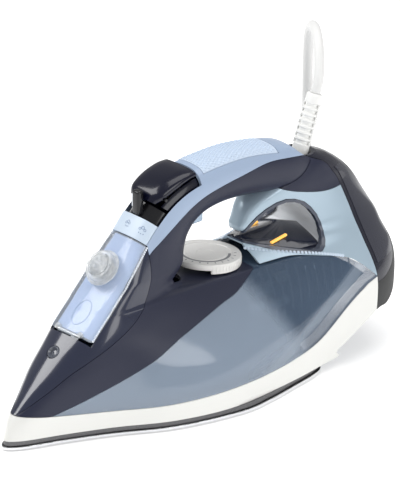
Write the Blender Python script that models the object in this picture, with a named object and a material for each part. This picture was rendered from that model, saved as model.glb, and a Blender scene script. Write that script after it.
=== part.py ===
"""Steam iron, built as an assembly of separate parts.

Frame: +Z up, nose towards -Y, heel towards +Y, origin on the ironing plane under the middle of the body.
Forms are drawn on a reference iron in millimetres, as (x, s, z): x is the half breadth, s the distance back
from the nose tip and z the height. at() scales them to the three overall sizes below.
"""

import math

import bmesh
import bpy
from mathutils import Matrix, Vector

MM = 0.001
LENGTH = 320 * MM
WIDTH = 125 * MM
HEIGHT = 157 * MM

GAP = 0.35 * MM             # between touching pieces
WALL = 2.2 * MM             # moulded shells
RIM_DROP = 6.0 * MM         # soleplate thickness
STEAM_HOLE = 3.0 * MM
PIN = 2.0 * MM              # hinge pins
DIAL = 47.0 * MM
DIAL_DISC = 4.2 * MM
DIAL_LIP = 6.4 * MM         # depth of the grip lip on part of the rim
DIAL_TILT = math.radians(4)
SPINDLE = 6.0 * MM
CAP = 21.6 * MM
CAP_HEIGHT = 6.0 * MM
NOZZLE = 9.0 * MM
HEATER = 5.0 * MM           # heating tube
FUNNEL = 12.0 * MM          # filling pipe
VALVE_ROD = 2.4 * MM
PISTON = 6.0 * MM
SCREW = 3.0 * MM
SCREW_LENGTH = 9.0 * MM
CORD = 7.0 * MM
RELIEF_BASE = 11.4 * MM
RELIEF_TIP = 10.6 * MM
RELIEF_LENGTH = 37.0 * MM
RELIEF_LEAN = math.radians(20)
COIL_RADIUS = 42.5 * MM     # to the middle of the wound cord
COIL_WIDTH = 21.4 * MM      # three turns side by side
COIL_HEIGHT = 14.4 * MM     # and two high
COIL_AT = Vector((-112, 80, 0)) * MM
TIE = 1.2 * MM              # thickness of the strap round the coil
PLUG_LENGTH = 40 * MM
PLUG_WIDTH = 25 * MM
PLUG_HEIGHT = 18 * MM
SIDES = 24                  # round pieces
STEPS = 2                   # samples between two control points of an outline

REF = (125.0, 320.0, 157.0)


def at(x, s, z):
    """A point of the reference iron, in metres at the overall sizes."""
    return Vector((x * WIDTH / REF[0], (s / REF[1] - 0.5) * LENGTH, z * HEIGHT / REF[2]))


# ---------------------------------------------------------------- curves

def catmull(a, b, c, d, t):
    return 0.5 * (2 * b + (c - a) * t + (2 * a - 5 * b + 4 * c - d) * t * t + (3 * b - a - 3 * c + d) * t ** 3)


def smooth(points, steps=STEPS, closed=False):
    """Points read from a smooth curve through the given ones."""
    points = [Vector(p) for p in points]
    n = len(points)
    if closed:
        get = lambda i: points[i % n]
    else:
        get = lambda i: points[i] if 0 <= i < n else (2 * points[0] - points[1] if i < 0 else 2 * points[-1] - points[-2])
    found = []
    for i in range(n if closed else n - 1):
        found += [catmull(get(i - 1), get(i), get(i + 1), get(i + 2), k / steps) for k in range(steps)]
    if not closed:
        found.append(points[-1])
    return found


def whole_ring(half, inset=0.0, steps=STEPS):
    """A closed ring from a half outline of (x, s) that starts and ends on the centre line, moved in by inset."""
    half = [Vector(p) for p in half]
    if inset:
        ends = [Vector((-half[1].x, half[1].y))] + half + [Vector((-half[-2].x, half[-2].y))]
        runs = [(ends[i + 2] - ends[i]).normalized() for i in range(len(half))]
        half = [p + Vector((-run.y, run.x)) * inset for p, run in zip(half, runs)]
    mirrored = half + [Vector((-p.x, p.y)) for p in half[-2:0:-1]]
    return smooth(mirrored, steps, closed=True)


def shrunk_ring(half, inset, z):
    """A ring well inside a pointed outline: narrower by inset a side, and set back more at its tip."""
    x_most, s_most = max(x for x, _ in half), half[-1][1]
    front = 2.2 * inset
    return [at(x, y, 0) + Vector((0, 0, z)) for x, y in
            whole_ring([(x * (1 - inset / x_most), front + s * (s_most - inset - front) / s_most) for x, s in half])]


# ---------------------------------------------------------------- objects

def new_collection(name):
    found = bpy.data.collections.new(name)
    bpy.context.scene.collection.children.link(found)
    return found


def material(name, colour, roughness, metallic=0.0, alpha=1.0):
    made = bpy.data.materials.new(name)
    made.use_nodes = True
    shader = made.node_tree.nodes["Principled BSDF"]
    shader.inputs["Base Color"].default_value = (*colour, 1.0)
    shader.inputs["Roughness"].default_value = roughness
    shader.inputs["Metallic"].default_value = metallic
    shader.inputs["Alpha"].default_value = alpha
    made.diffuse_color = (*colour, alpha)
    return made


def place(bm, name, finish=None, matrix=None):
    """Makes an object of a bmesh: a part when it has a finish, else a cutter."""
    if matrix is not None:
        bm.transform(matrix)
    bmesh.ops.recalc_face_normals(bm, faces=bm.faces)
    if bm.calc_volume(signed=True) < 0:
        bmesh.ops.reverse_faces(bm, faces=bm.faces)
    mesh = bpy.data.meshes.new(name)
    bm.to_mesh(mesh)
    bm.free()
    made = bpy.data.objects.new(name, mesh)
    if finish is None:
        CUTTERS.objects.link(made)
        made.hide_render = True
        made.display_type = "WIRE"
    else:
        PARTS.objects.link(made)
        mesh.materials.append(MATERIALS[finish])
        mesh.shade_smooth()
        mesh.set_sharp_from_angle(angle=math.radians(35))
    return made


def combine(target, other, operation):
    """Applies one exact Boolean, and removes the cutter."""
    modifier = target.modifiers.new(operation.title(), "BOOLEAN")
    modifier.operation = operation
    modifier.solver = "EXACT"
    modifier.object = other
    graph = bpy.context.evaluated_depsgraph_get()
    result = bpy.data.meshes.new_from_object(target.evaluated_get(graph))
    target.modifiers.clear()
    old = target.data
    target.data = result
    bpy.data.meshes.remove(old)
    bpy.data.objects.remove(other)
    return target


def cut(target, *others):
    for other in others:
        combine(target, other, "DIFFERENCE")
    return target


def keep(target, *others):
    for other in others:
        combine(target, other, "INTERSECT")
    return target


def join(target, *others):
    for other in others:
        combine(target, other, "UNION")
    return target


def frame_matrix(centre, direction):
    """A matrix whose Z runs along the direction."""
    return Matrix.Translation(centre) @ Vector(direction).to_track_quat("Z", "Y").to_matrix().to_4x4()


def rod(name, start, end, radius, finish=None, radius_end=None, sides=SIDES):
    start, end = Vector(start), Vector(end)
    bm = bmesh.new()
    bmesh.ops.create_cone(bm, cap_ends=True, segments=sides, radius1=radius,
                          radius2=radius if radius_end is None else radius_end, depth=(end - start).length)
    return place(bm, name, finish, frame_matrix((start + end) / 2, end - start))


def block(name, centre, size, finish=None, bevel=0.0, turn=None):
    bm = bmesh.new()
    bmesh.ops.create_cube(bm, size=1.0, matrix=Matrix.Diagonal((*size, 1.0)))
    if bevel:
        bmesh.ops.bevel(bm, geom=list(bm.edges), offset=bevel, segments=2, affect="EDGES")
    matrix = Matrix.Translation(centre) @ (turn.to_4x4() if turn else Matrix.Identity(4))
    return place(bm, name, finish, matrix)


def loft(name, rings, finish=None):
    """A closed body through rings of equal counts, for sections that differ."""
    bm = bmesh.new()
    rows = [[bm.verts.new(p) for p in ring] for ring in rings]
    n = len(rows[0])
    for a, b in zip(rows, rows[1:]):
        for i in range(n):
            j = (i + 1) % n
            bm.faces.new((a[i], a[j], b[j], b[i]))
    bm.faces.new(rows[0][::-1])
    bm.faces.new(rows[-1])
    return place(bm, name, finish)


def prism(name, outline, half=None, finish=None, x_from=None, x_to=None):
    """A side outline of (s, z) run across the iron."""
    wide = half if half is not None else 90.0
    low = -wide if x_from is None else x_from
    high = wide if x_to is None else x_to
    return loft(name, [[at(low, s, z) for s, z in outline], [at(high, s, z) for s, z in outline]], finish)


def tube(name, points, radius, finish, resolution=2):
    """A wire along points, made a mesh with its caps joined on."""
    curve = bpy.data.curves.new(name, "CURVE")
    curve.dimensions = "3D"
    spline = curve.splines.new("POLY")
    spline.points.add(len(points) - 1)
    for knot, p in zip(spline.points, points):
        knot.co = (*p, 1.0)
    curve.bevel_depth = radius
    curve.bevel_resolution = resolution
    curve.use_fill_caps = True
    guide = bpy.data.objects.new(name + "_curve", curve)
    CUTTERS.objects.link(guide)
    graph = bpy.context.evaluated_depsgraph_get()
    mesh = bpy.data.meshes.new_from_object(guide.evaluated_get(graph))
    bpy.data.objects.remove(guide)
    bm = bmesh.new()
    bm.from_mesh(mesh)
    bpy.data.meshes.remove(mesh)
    bmesh.ops.remove_doubles(bm, verts=bm.verts, dist=1e-6)
    return place(bm, name, finish)


def turned(name, profile, matrix, finish=None, sides=SIDES):
    """A turned solid: profile of (radius, height) from its bottom to its top, both ends on the axis or open."""
    rings = [[matrix @ Vector((r * math.cos(2 * math.pi * k / sides), r * math.sin(2 * math.pi * k / sides), h))
              for k in range(sides)] for r, h in profile]
    return loft(name, rings, finish)


# ---------------------------------------------------------------- the outer form

# Half outlines (x, s) at rising heights: twelve feature points from the nose ridge round to the heel.
BODY_LEVELS = (
    (6.0, ((0, 1.5), (8.5, 11), (18, 36), (32, 69), (51, 106), (60.3, 150), (55, 204), (47.5, 245), (45, 282),
           (36, 305), (20, 314), (0, 316))),
    (20.0, ((0, 7), (9, 15), (18.5, 38), (32, 70), (50, 107), (59, 150), (55.5, 204), (49.5, 245), (46.5, 282),
            (38, 304), (22, 315), (0, 317))),
    (40.0, ((0, 26.5), (12, 31), (21, 45), (33, 79), (45.5, 109), (54, 150), (54, 204), (51, 245), (48.3, 283),
            (38, 307), (23, 317), (0, 319))),
    (55.0, ((0, 42), (14, 46.5), (23, 59), (31, 82), (38, 109), (44, 150), (47.5, 204), (48.7, 245), (47.5, 283),
            (36, 309), (22, 318.3), (0, 320))),
    (66.0, ((0, 54), (15, 57.5), (23.5, 69), (28, 86), (31, 109), (35.5, 150), (39.5, 204), (43, 245), (43, 279),
            (33, 308), (20, 317), (0, 318.5))),
    (78.0, ((0, 66.5), (15.5, 70), (22.5, 80), (24.5, 92), (25, 109), (25, 150), (27, 204), (33, 245), (35, 275),
            (27, 304), (16, 313.5), (0, 315.5))),
)
# The nose goes on up: the tongue that carries the dial, then the front pillar.
NOSE_LEVELS = (
    (79.0, ((0, 67.5), (15.5, 71), (22.5, 81), (24.4, 92.8), (24.6, 109), (24.2, 150), (25, 190), (18, 206),
            (12, 210), (7, 212), (3, 213), (0, 213))),
    (81.5, ((0, 70), (15.5, 73.2), (22.3, 83), (23.4, 94.5), (22.9, 110), (21.2, 125), (19.6, 135), (17, 141.5),
            (13.5, 145.5), (9, 148), (4.5, 149.2), (0, 149.5))),
    (96.0, ((0, 85.5), (15.5, 88.5), (21.5, 95.5), (22.5, 104), (21.5, 115), (20, 127), (18.5, 135), (16.5, 141),
            (13, 144.8), (9, 147), (4.5, 148), (0, 148.3))),
)
# Leaning sections of the handle: (front or top point, back or bottom point, half breadth).
HANDLE_STATIONS = (
    ((104.5, 121), (149, 106), 20.2),
    ((113, 131), (151.5, 111.5), 19.4),
    ((125, 142), (157, 117.5), 18.7),
    ((140, 150), (165, 121.5), 18.3),
    ((158, 154.6), (175, 123.5), 18.0),
    ((178, 156), (188, 124), 18.0),
    ((200, 155.6), (204, 122.5), 18.0),
    ((224, 151.8), (222, 119.5), 17.7),
    ((241, 147.5), (240, 116), 17.0),
    ((256, 139.6), (256, 114), 14.5),
)
# The rear body goes on up from the saddle into the column behind the hand opening.
REAR_LEVELS = (
    (87.0, ((0, 190), (2.5, 190.3), (5, 191), (7, 192.5), (8.5, 195), (10, 201), (17, 228), (23, 250), (27.5, 280),
            (21, 304), (12, 311.5), (0, 313.3))),
    (100.0, ((0, 200), (2.2, 200.2), (4.5, 200.8), (6.4, 202), (7.8, 204), (9, 208), (15.5, 231), (20.5, 254),
             (22.5, 277), (18, 294), (11, 303.5), (0, 307.2))),
    (113.0, ((0, 208), (2.6, 208.2), (5.2, 208.9), (7.6, 210), (9.8, 212), (12, 217), (16.5, 234), (18.8, 254),
             (18.8, 270), (15, 286), (9, 296), (0, 298.6))),
    (122.0, ((0, 222), (3, 222.3), (6, 223), (9, 224.5), (12, 227), (15, 232), (17.3, 243), (18, 256), (17, 268),
             (13.3, 280), (7.5, 288), (0, 290.2))),
    (131.0, ((0, 238), (3, 238.2), (6, 238.8), (9, 240), (12, 242.5), (14, 246), (15.3, 252), (15.5, 259),
             (14, 266), (11, 272), (6.5, 276.6), (0, 278.2))),
    (136.0, ((0, 246), (2.4, 246.2), (4.8, 246.8), (7, 247.8), (8.8, 249.5), (10.2, 252), (11, 255), (11, 258.5),
             (10, 261.8), (8, 264.5), (4.6, 266.4), (0, 267))),
)


def level_rings(levels, inset=0.0):
    """Rings in metres at the levels, and between them on an outer face."""
    between = 1 if inset > 0 else 2
    flat = [(z, whole_ring(half, inset / MM)) for z, half in levels]
    rings = []
    for i in range(len(flat) - 1):
        a, b = flat[max(i - 1, 0)], flat[i]
        c, d = flat[i + 1], flat[min(i + 2, len(flat) - 1)]
        for k in range(between):
            t = k / between
            z = b[0] + (c[0] - b[0]) * t
            rings.append([at(*catmull(p, q, r, w, t), z) for p, q, r, w in zip(a[1], b[1], c[1], d[1])])
    z, last = flat[-1]
    rings.append([at(p.x, p.y, z) for p in last])
    return rings


def section_ring(front, back, half, inset=0.0, count=12):
    """A rounded section between a front or top point and a back or bottom point, both (s, z)."""
    front, back = Vector(front), Vector(back)
    run = (back - front).normalized() * inset / MM
    front, back = front + run, back - run
    outline = []
    for k in range(count):
        turn = math.pi * k / (count - 1)
        x = (half - inset / MM) * math.sin(turn) ** 0.62
        outline.append((x, (1 - math.cos(turn)) / 2))
    ring = whole_ring(outline)
    return [at(p.x, *(front + (back - front) * p.y)) for p in ring]


def smooth_rings(rings, between=2):
    found = []
    for i in range(len(rings) - 1):
        a, b = rings[max(i - 1, 0)], rings[i]
        c, d = rings[i + 1], rings[min(i + 2, len(rings) - 1)]
        for k in range(between):
            found.append([catmull(p, q, r, w, k / between) for p, q, r, w in zip(a, b, c, d)])
    found.append(rings[-1])
    return found


BODY_TOP = 79.0


def body_form(name, inset=0.0):
    """The lower body, from the skirt's foot to the saddle."""
    rings = level_rings(BODY_LEVELS, inset)
    top = whole_ring(BODY_LEVELS[-1][1], inset / MM + 6)
    rings.append([at(p.x, p.y, BODY_TOP - inset / MM) for p in top])
    return loft(name, rings)


def arch_form(name, inset=0.0):
    """The nose, the front pillar and the handle, as one sweep."""
    rings = level_rings(BODY_LEVELS[1:] + NOSE_LEVELS, inset)
    rings += smooth_rings([section_ring(f, b, w, inset) for f, b, w in HANDLE_STATIONS], 1 if inset > 0 else 2)
    return loft(name, rings)


def rear_form(name, inset=0.0):
    """The heel and the column behind the hand opening."""
    rings = level_rings(BODY_LEVELS[1:] + REAR_LEVELS, inset)
    return loft(name, rings)


# ---------------------------------------------------------------- the parting lines, as side curves of (s, z)

SKIRT_LINE = smooth(((-20, 23), (8, 22), (30, 19.6), (60, 17.8), (95, 17), (150, 18.7), (180, 19.3), (204, 21),
                     (231, 26.6), (257, 42.6), (270, 49.5), (284, 53.6), (340, 60)))
UNDER_LINE = smooth(((-20, 5), (226, 5), (250, 12), (282, 29), (296, 30), (306, 34), (314, 40), (340, 60)))
NAVY_LINE = smooth(((0, 12), (30, 20), (60, 31), (81, 39.3), (111, 53), (128, 59), (157, 67), (175, 71),
                    (197, 79.5), (205, 84), (215, 92)))
SEAM_LINE = smooth(((-10, 10), (10, 22.5), (26, 34), (41, 45), (54, 52), (74, 62.5), (93, 73), (103, 82),
                    (109, 96), (110, 111), (110, 125)))
COVER_LINE = smooth(((90, 92), (109, 110), (136, 127), (155, 136), (173, 140), (192, 142.5), (215, 144.5),
                     (235, 142), (252, 138), (275, 131)))
TANK_LINE = smooth(((150, 79.4), (185, 79.4), (210, 79.6), (228, 79.2), (247, 75.5), (261, 72), (269, 68), (276, 62),
                    (284, 54), (292, 44)))
SCOOP_LINE = smooth(((200, 141), (218, 127.5), (231, 120.6), (245.5, 115.7), (261, 112.1), (277, 111.2),
                     (300, 112)))
HEEL_LINE = smooth(((236, 160), (241, 149), (252, 138), (267, 130), (273.6, 121.4), (278, 112.9), (283, 89.4),
                    (283.6, 74), (284.4, 54), (284, 25), (283, 0)))
BUMPER_LINE = smooth(((262, 150), (280, 131), (293, 117), (303, 102), (310, 86), (311.5, 66), (307, 56),
                      (296, 51), (286, 49.6), (275, 49)))
FAR = 400.0


def shifted(line, gap):
    """The side curve moved to its left by the gap."""
    moved = []
    for i, p in enumerate(line):
        run = (line[min(i + 1, len(line) - 1)] - line[max(i - 1, 0)]).normalized()
        moved.append(p + Vector((-run.y, run.x)) * gap / MM)
    return moved


def side_of(line, corners, gap):
    """A prism between a parting line, moved off it by half the gap, and far corners."""
    return prism("side", [tuple(p) for p in shifted(line, gap / 2)] + list(corners))


def above(line):
    return side_of(line, ((FAR, line[-1].y), (FAR, FAR), (-FAR, FAR), (-FAR, line[0].y)), GAP)


def below(line):
    return side_of(line, ((FAR, line[-1].y), (FAR, -FAR), (-FAR, -FAR), (-FAR, line[0].y)), -GAP)


def in_front_of_seam():
    return side_of(SEAM_LINE, ((110, FAR), (-FAR, FAR), (-FAR, 10)), GAP)


def behind_seam():
    return side_of(SEAM_LINE, ((110, FAR), (FAR, FAR), (FAR, -FAR), (-10, -FAR)), -GAP)


def in_front_of_heel():
    return side_of(HEEL_LINE, ((283, -FAR), (-FAR, -FAR), (-FAR, FAR), (236, FAR)), -GAP)


def behind_heel():
    return side_of(HEEL_LINE, ((283, -FAR), (FAR, -FAR), (FAR, FAR), (236, FAR)), GAP)


def behind_bumper_line():
    return side_of(BUMPER_LINE, ((275, -FAR), (FAR, -FAR), (FAR, FAR), (262, FAR)), GAP)


def in_front_of_bumper_line():
    return side_of(BUMPER_LINE, ((275, -FAR), (-FAR, -FAR), (-FAR, FAR), (262, FAR)), -GAP)


# ---------------------------------------------------------------- openings and places

WINDOW = smooth(((199, 91.5), (206, 100.5), (218, 110), (232, 114), (246, 109), (255, 98), (257.5, 87),
                 (252, 79.5), (243, 77.5), (222, 82), (205, 88)), 2, closed=True)
DOOR_LOW = (54.0, 66.5)         # side points of the filling door, on the nose ridge
DOOR_HIGH = (105.0, 121.5)
BAND_HIGH = (114.5, 132.5)
HUB_HIGH = (122.5, 139.6)
SLOPE = Vector((0, DOOR_HIGH[0] - DOOR_LOW[0], DOOR_HIGH[1] - DOOR_LOW[1])).normalized()
OUT = Vector((0, -SLOPE.z, SLOPE.y))    # out of the nose, square to its slope
DIAL_AT = (176.0, 85.4)
DIAL_AXIS = Vector((0, math.sin(DIAL_TILT), math.cos(DIAL_TILT)))
RELIEF_AT = (259.5, 137.5)
RELIEF_AXIS = Vector((0, math.sin(RELIEF_LEAN), math.cos(RELIEF_LEAN)))


def on_slope(x, along, out):
    """A point by its distance up the nose from the door's foot and out of the surface, in millimetres."""
    base = at(x, *DOOR_LOW)
    return base + SLOPE_M * along * MM + OUT_M * out * MM


SLOPE_M = (at(0, *DOOR_HIGH) - at(0, *DOOR_LOW)).normalized()
OUT_M = Vector((0, -SLOPE_M.z, SLOPE_M.y))
SLOPE_TURN = Matrix((Vector((1, 0, 0)), SLOPE_M, OUT_M)).transposed()     # local X across, Y up the slope, Z out
DOOR_LENGTH = (at(0, *DOOR_HIGH) - at(0, *DOOR_LOW)).length / MM
BAND_LENGTH = (at(0, *BAND_HIGH) - at(0, *DOOR_LOW)).length / MM
HUB_LENGTH = (at(0, *HUB_HIGH) - at(0, *DOOR_LOW)).length / MM


def slope_slab(name, low, high, half, depth, lift=12.0, finish=None, bevel=0.0):
    """A box along the nose slope: from low to high up it, to depth under the surface and lift over it."""
    centre = on_slope(0, (low + high) / 2, (lift - depth) / 2)
    return block(name, centre, (2 * half * MM, (high - low) * MM, (lift + depth) * MM), finish, bevel, SLOPE_TURN)


def window_prism(grow=0.0, half=None):
    centre = sum(WINDOW, Vector((0, 0))) / len(WINDOW)
    outline = [p + (p - centre).normalized() * grow / MM for p in WINDOW]
    return prism("window", [tuple(p) for p in outline], half)


# ---------------------------------------------------------------- lower parts

SOLE = ((0, 0), (9.5, 11), (19, 36.5), (33, 69), (52, 106), (62.5, 152), (60.8, 179), (55.5, 205), (50, 228),
        (42, 239), (24, 243.5), (0, 244.5))


def sole_ring(inset, z):
    return [at(p.x, p.y, 0) + Vector((0, 0, z)) for p in whole_ring(SOLE, inset / MM)]


def soleplate():
    shelf = 1.6 * MM
    lip = 2.4 * MM
    plate = loft("soleplate", [sole_ring(0.9 * MM, 0), sole_ring(0, 0.9 * MM), sole_ring(0, lip - 0.5 * MM),
                               sole_ring(0.5 * MM, lip), sole_ring(shelf, lip + 0.1 * MM),
                               sole_ring(shelf, RIM_DROP)], "sole")
    for x, s in steam_holes():
        foot = at(x, s, 0)
        cut(plate, rod("hole", foot - Vector((0, 0, MM)), foot + Vector((0, 0, RIM_DROP + MM)),
                       STEAM_HOLE / 2, sides=8))
    return plate


def steam_holes():
    """Rows of holes along both sides of the plate, and one near the tip."""
    places = [(0, 17)]
    for s, x in ((30, 9), (48, 16), (66, 23), (84, 31), (102, 39), (120, 45), (140, 48)):
        places += [(x, s), (-x, s)]
    return places


def casting():
    """The cast heater block on the soleplate, with a basin for the steam."""
    low = RIM_DROP + GAP
    body = loft("heater_casting", [shrunk_ring(SOLE, 9, low), shrunk_ring(SOLE, 9, low + 7 * MM),
                                   shrunk_ring(SOLE, 11, low + 9 * MM)], "casting")
    basin = loft("basin", [shrunk_ring(SOLE, 19, low + 3 * MM), shrunk_ring(SOLE, 19, low + 12 * MM)])
    for x, s in SCREW_PLACES:
        cut(body, rod("hole", at(x, s, 0) + Vector((0, 0, low + 2 * MM)), at(x, s, 60), SCREW / 2 + GAP))
    return cut(body, basin)


CASTING_TOP = RIM_DROP + GAP + 9 * MM


def heating_element():
    """The bent tube that heats the plate, lying in the basin with its two ends up at the back."""
    z = RIM_DROP + GAP + 3 * MM + HEATER / 2 + GAP
    half = smooth(((0, 66, 0), (6, 70, 0), (12, 86, 0), (20, 112, 0), (27, 145, 0), (26, 185, 0), (18, 208, 0)), 2)
    right = [at(p.x, p.y, 0) + Vector((0, 0, z)) for p in half]
    left = [Vector((-p.x, p.y, p.z)) for p in right[:0:-1]]
    return tube("heating_element", left + right, HEATER / 2, "steel")


def chamber_cover():
    low = CASTING_TOP + GAP
    plate = loft("chamber_cover", [shrunk_ring(SOLE, 12, low), shrunk_ring(SOLE, 12, low + 1.4 * MM)], "steel")
    drip = at(*VALVE_AT, 0)
    cut(plate, rod("drip", drip, drip + Vector((0, 0, 0.1)), VALVE_ROD / 2 + MM))
    for x, s in SCREW_PLACES:
        cut(plate, rod("hole", at(x, s, 0), at(x, s, 60), SCREW / 2 + GAP))
    return plate


VALVE_AT = (-12.0, 112.0)
SCREW_PLACES = ((-47.0, 150.0), (47.0, 150.0), (0.0, 229.4))


def skirt():
    form = body_form("skirt")
    keep(form, below(SKIRT_LINE), above(UNDER_LINE), in_front_of_heel())
    cut(form, body_form("inside", WALL))
    return finish(form, "skirt")


def finish(piece, name):
    """Makes a cut form a part."""
    for owner in piece.users_collection:
        owner.objects.unlink(piece)
    PARTS.objects.link(piece)
    piece.hide_render = False
    piece.display_type = "TEXTURED"
    piece.data.materials.clear()
    piece.data.materials.append(MATERIALS[name])
    piece.data.shade_smooth()
    piece.data.set_sharp_from_angle(angle=math.radians(35))
    return piece


def water_tank():
    """The clear tank: a hollow body with a filling neck in front and a tunnel for the dial's spindle."""
    tank = body_form("water_tank")
    keep(tank, above(SKIRT_LINE), below(TANK_LINE), in_front_of_heel())
    cut(tank, side_of(NAVY_LINE, ((215, FAR), (-FAR, FAR), (-FAR, 12)), -GAP))
    cut(tank, prism("nose_room", ((-20, 0), (74, 0), (74, 60), (-20, 60)), 90))
    hollow = body_form("hollow", WALL)
    for x, s in SCREW_PLACES[:2]:
        cut(hollow, rod("screw_walls", at(x, s, 0), at(x, s, 0) + Vector((0, 0, SCREW_TOP + MM + WALL)),
                        SCREW + 0.6 * MM + WALL, sides=16))
    keep(hollow, side_of(SKIRT_LINE, ((FAR, 60), (FAR, FAR), (-FAR, FAR), (-FAR, 23)), GAP + 2 * WALL),
         side_of(TANK_LINE, ((FAR, 40), (FAR, -FAR), (-FAR, -FAR), (-FAR, 79.4)), -GAP - 2 * WALL),
         side_of(HEEL_LINE, ((283, -FAR), (-FAR, -FAR), (-FAR, FAR), (236, FAR)), -GAP - 2 * WALL))
    cut(hollow, side_of(NAVY_LINE, ((215, FAR), (-FAR, FAR), (-FAR, 12)), -GAP - 2 * WALL))
    cut(hollow, prism("front_wall", ((-20, 0), (74 + 2.2, 0), (74 + 2.2, 60), (-20, 60)), 90))
    room = Vector((THERMOSTAT.x + 9 * MM, THERMOSTAT.y + 22 * MM, 2 * (THERMOSTAT_TOP + MM)))
    head = DIAL_FOOT + DIAL_AXIS * 0.12
    valve, over = at(*VALVE_AT, 0), at(*VALVE_AT, 120)
    cut(hollow, block("thermostat_walls", DIAL_FOOT, room + Vector((2, 2, 2)) * WALL),
        rod("tunnel_wall", DIAL_FOOT, head, SPINDLE / 2 + 1.5 * MM + WALL),
        rod("valve_wall", valve, over, VALVE_ROD / 2 + MM + WALL))
    cut(tank, hollow, block("thermostat_room", DIAL_FOOT, room), rod("tunnel", DIAL_FOOT, head, SPINDLE / 2 + 1.5 * MM),
        rod("valve", valve, over, VALVE_ROD / 2 + MM))
    for x, s in SCREW_PLACES[:2]:
        cut(tank, rod("screw_room", at(x, s, 0), at(x, s, 0) + Vector((0, 0, SCREW_TOP + MM)), SCREW + 0.6 * MM, sides=16))
    mouth = FUNNEL_END - Vector((0, 0, 20 * MM))
    cut(tank, rod("neck", mouth, mouth + Vector((0, 0, 60 * MM)), FUNNEL / 2 + MM))
    return finish(tank, "tank")


def nose_cap():
    form = arch_form("nose_cap")
    keep(form, above(SKIRT_LINE), in_front_of_seam())
    cut(form, arch_form("inside", WALL))
    cut(form, slope_slab("door_room", -0.5, BAND_LENGTH + 40, DOOR_HALF + 0.4, 8.0, 30))
    cut(form, rod("nozzle_hole", NOZZLE_AT - OUT_M * 0.01, NOZZLE_AT + OUT_M * 0.01, NOZZLE / 2 + GAP))
    return finish(form, "navy")


NOZZLE_AT = at(0, 43.0, 56.8)


def housing():
    """The navy body side, pillar and handle core in one shell, with the tongue under the dial."""
    form = arch_form("housing")
    keep(form, side_of(NAVY_LINE, ((215, FAR), (-FAR, FAR), (-FAR, 12)), GAP), behind_seam(), below(COVER_LINE),
         in_front_of_heel(), above(SCOOP_LINE_OPEN), above(SKIRT_LINE))
    cut(form, arch_form("inside", WALL))
    cut(form, rod("spindle_hole", DIAL_FOOT + DIAL_AXIS * 0.05, DIAL_FOOT + DIAL_AXIS * 0.12, SPINDLE / 2 + GAP))
    cut(form, slope_slab("door_room", -0.5, DOOR_LENGTH + 0.5, DOOR_HALF + 0.4, 14.0, 30))
    cut(form, block("tab_slot", TAB_AT, (TAB_WIDTH + 2 * GAP, TAB_RUN + 2 * GAP, 30 * MM)))
    return finish(form, "navy_side")


TAB_AT = at(0, 165.5, 119)
TAB_WIDTH = 9 * MM
TAB_RUN = 10 * MM
SCOOP_LINE_OPEN = smooth(((-20, -20), (120, -10), (150, 0), (190, 60), (205, 84)))


def handle_cover():
    form = arch_form("handle_cover")
    keep(form, above(COVER_LINE), behind_seam(), in_front_of_heel())
    cut(form, arch_form("inside", WALL))
    cut(form, prism("controls_room", ((90, 80), (128, 112), (142, 132), (158, 143.5), (158, 180), (60, 180)), 16.6),
        slope_slab("door_room", -0.5, DOOR_LENGTH + 0.15, DOOR_HALF + 0.4, 14.0, 30))
    cut(form, grip_room(13.6, 1.5 * MM, 162, 228))
    return finish(form, "cover")


def grip_room(half, depth, front, back):
    """The space along the top of the handle between the trigger and the heel, down to a depth."""
    room = prism("strip", ((front, 140), (front, 170), (back, 170), (back, 140)), half)
    return cut(room, arch_form("under", depth))


def grip_pad():
    return finish(keep(arch_form("grip_pad"), grip_room(13.25, 1.5 * MM - GAP, 162.5, 227.5)), "grip")


def rear_panel():
    """The satin body above the tank, with the window through it."""
    form = rear_form("rear_panel")
    keep(form, side_of(TANK_LINE, ((FAR, 44), (FAR, FAR), (-FAR, FAR), (-FAR, 79.4)), GAP), in_front_of_heel(),
         below(SCOOP_LINE), prism("rear_room", ((186, 0), (186, 200), (FAR, 200), (FAR, 0))))
    cut(form, side_of(NAVY_LINE, ((215, FAR), (-FAR, FAR), (-FAR, 12)), -GAP))
    hollow = rear_form("hollow", WALL)
    cut(hollow, window_prism(WALL))
    cut(form, hollow, window_prism())
    return finish(form, "satin")


def rear_webs():
    """The navy web between the handle and the rear panel, a half on each side."""
    for name, low, high in (("rear_web_left", -60, -0.2), ("rear_web_right", 0.2, 60)):
        form = rear_form(name)
        keep(form, above(SCOOP_LINE), in_front_of_heel(),
             prism("room", ((216.6, 100), (216.6, 136), (300, 136), (300, 100)), x_from=low, x_to=high))
        cut(form, rear_form("inside", WALL), arch_form("handle_room", -GAP))
        finish(form, "navy_side")


def heel_cover():
    form = rear_form("heel_cover")
    keep(form, behind_heel(), in_front_of_bumper_line(), above(UNDER_LINE))
    base = at(0, *RELIEF_AT)
    cut(form, rod("relief_hole", base - RELIEF_AXIS * 0.012, base + RELIEF_AXIS * 0.03, RELIEF_BASE / 2 + GAP, sides=22),
        keep(arch_form("handle_room", -GAP), prism("upper", ((200, 100), (200, 200), (340, 200), (340, 100)))),
        rear_form("inside", WALL))
    return finish(form, "heel")


def heel_bumper():
    form = rear_form("heel_bumper")
    keep(form, behind_heel(), behind_bumper_line(), above(UNDER_LINE))
    cut(form, rear_form("inside", 2 * WALL))
    return finish(form, "bumper")


# ---------------------------------------------------------------- filling door, spray and funnel

DOOR_HALF = 20.0
FILLER_ALONG = 49.0         # the filling hole's place up the door
DOOR_HINGE = on_slope(0, 1.9, -1.9)
FUNNEL_END = at(0, 127.5, 62.2)


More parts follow.
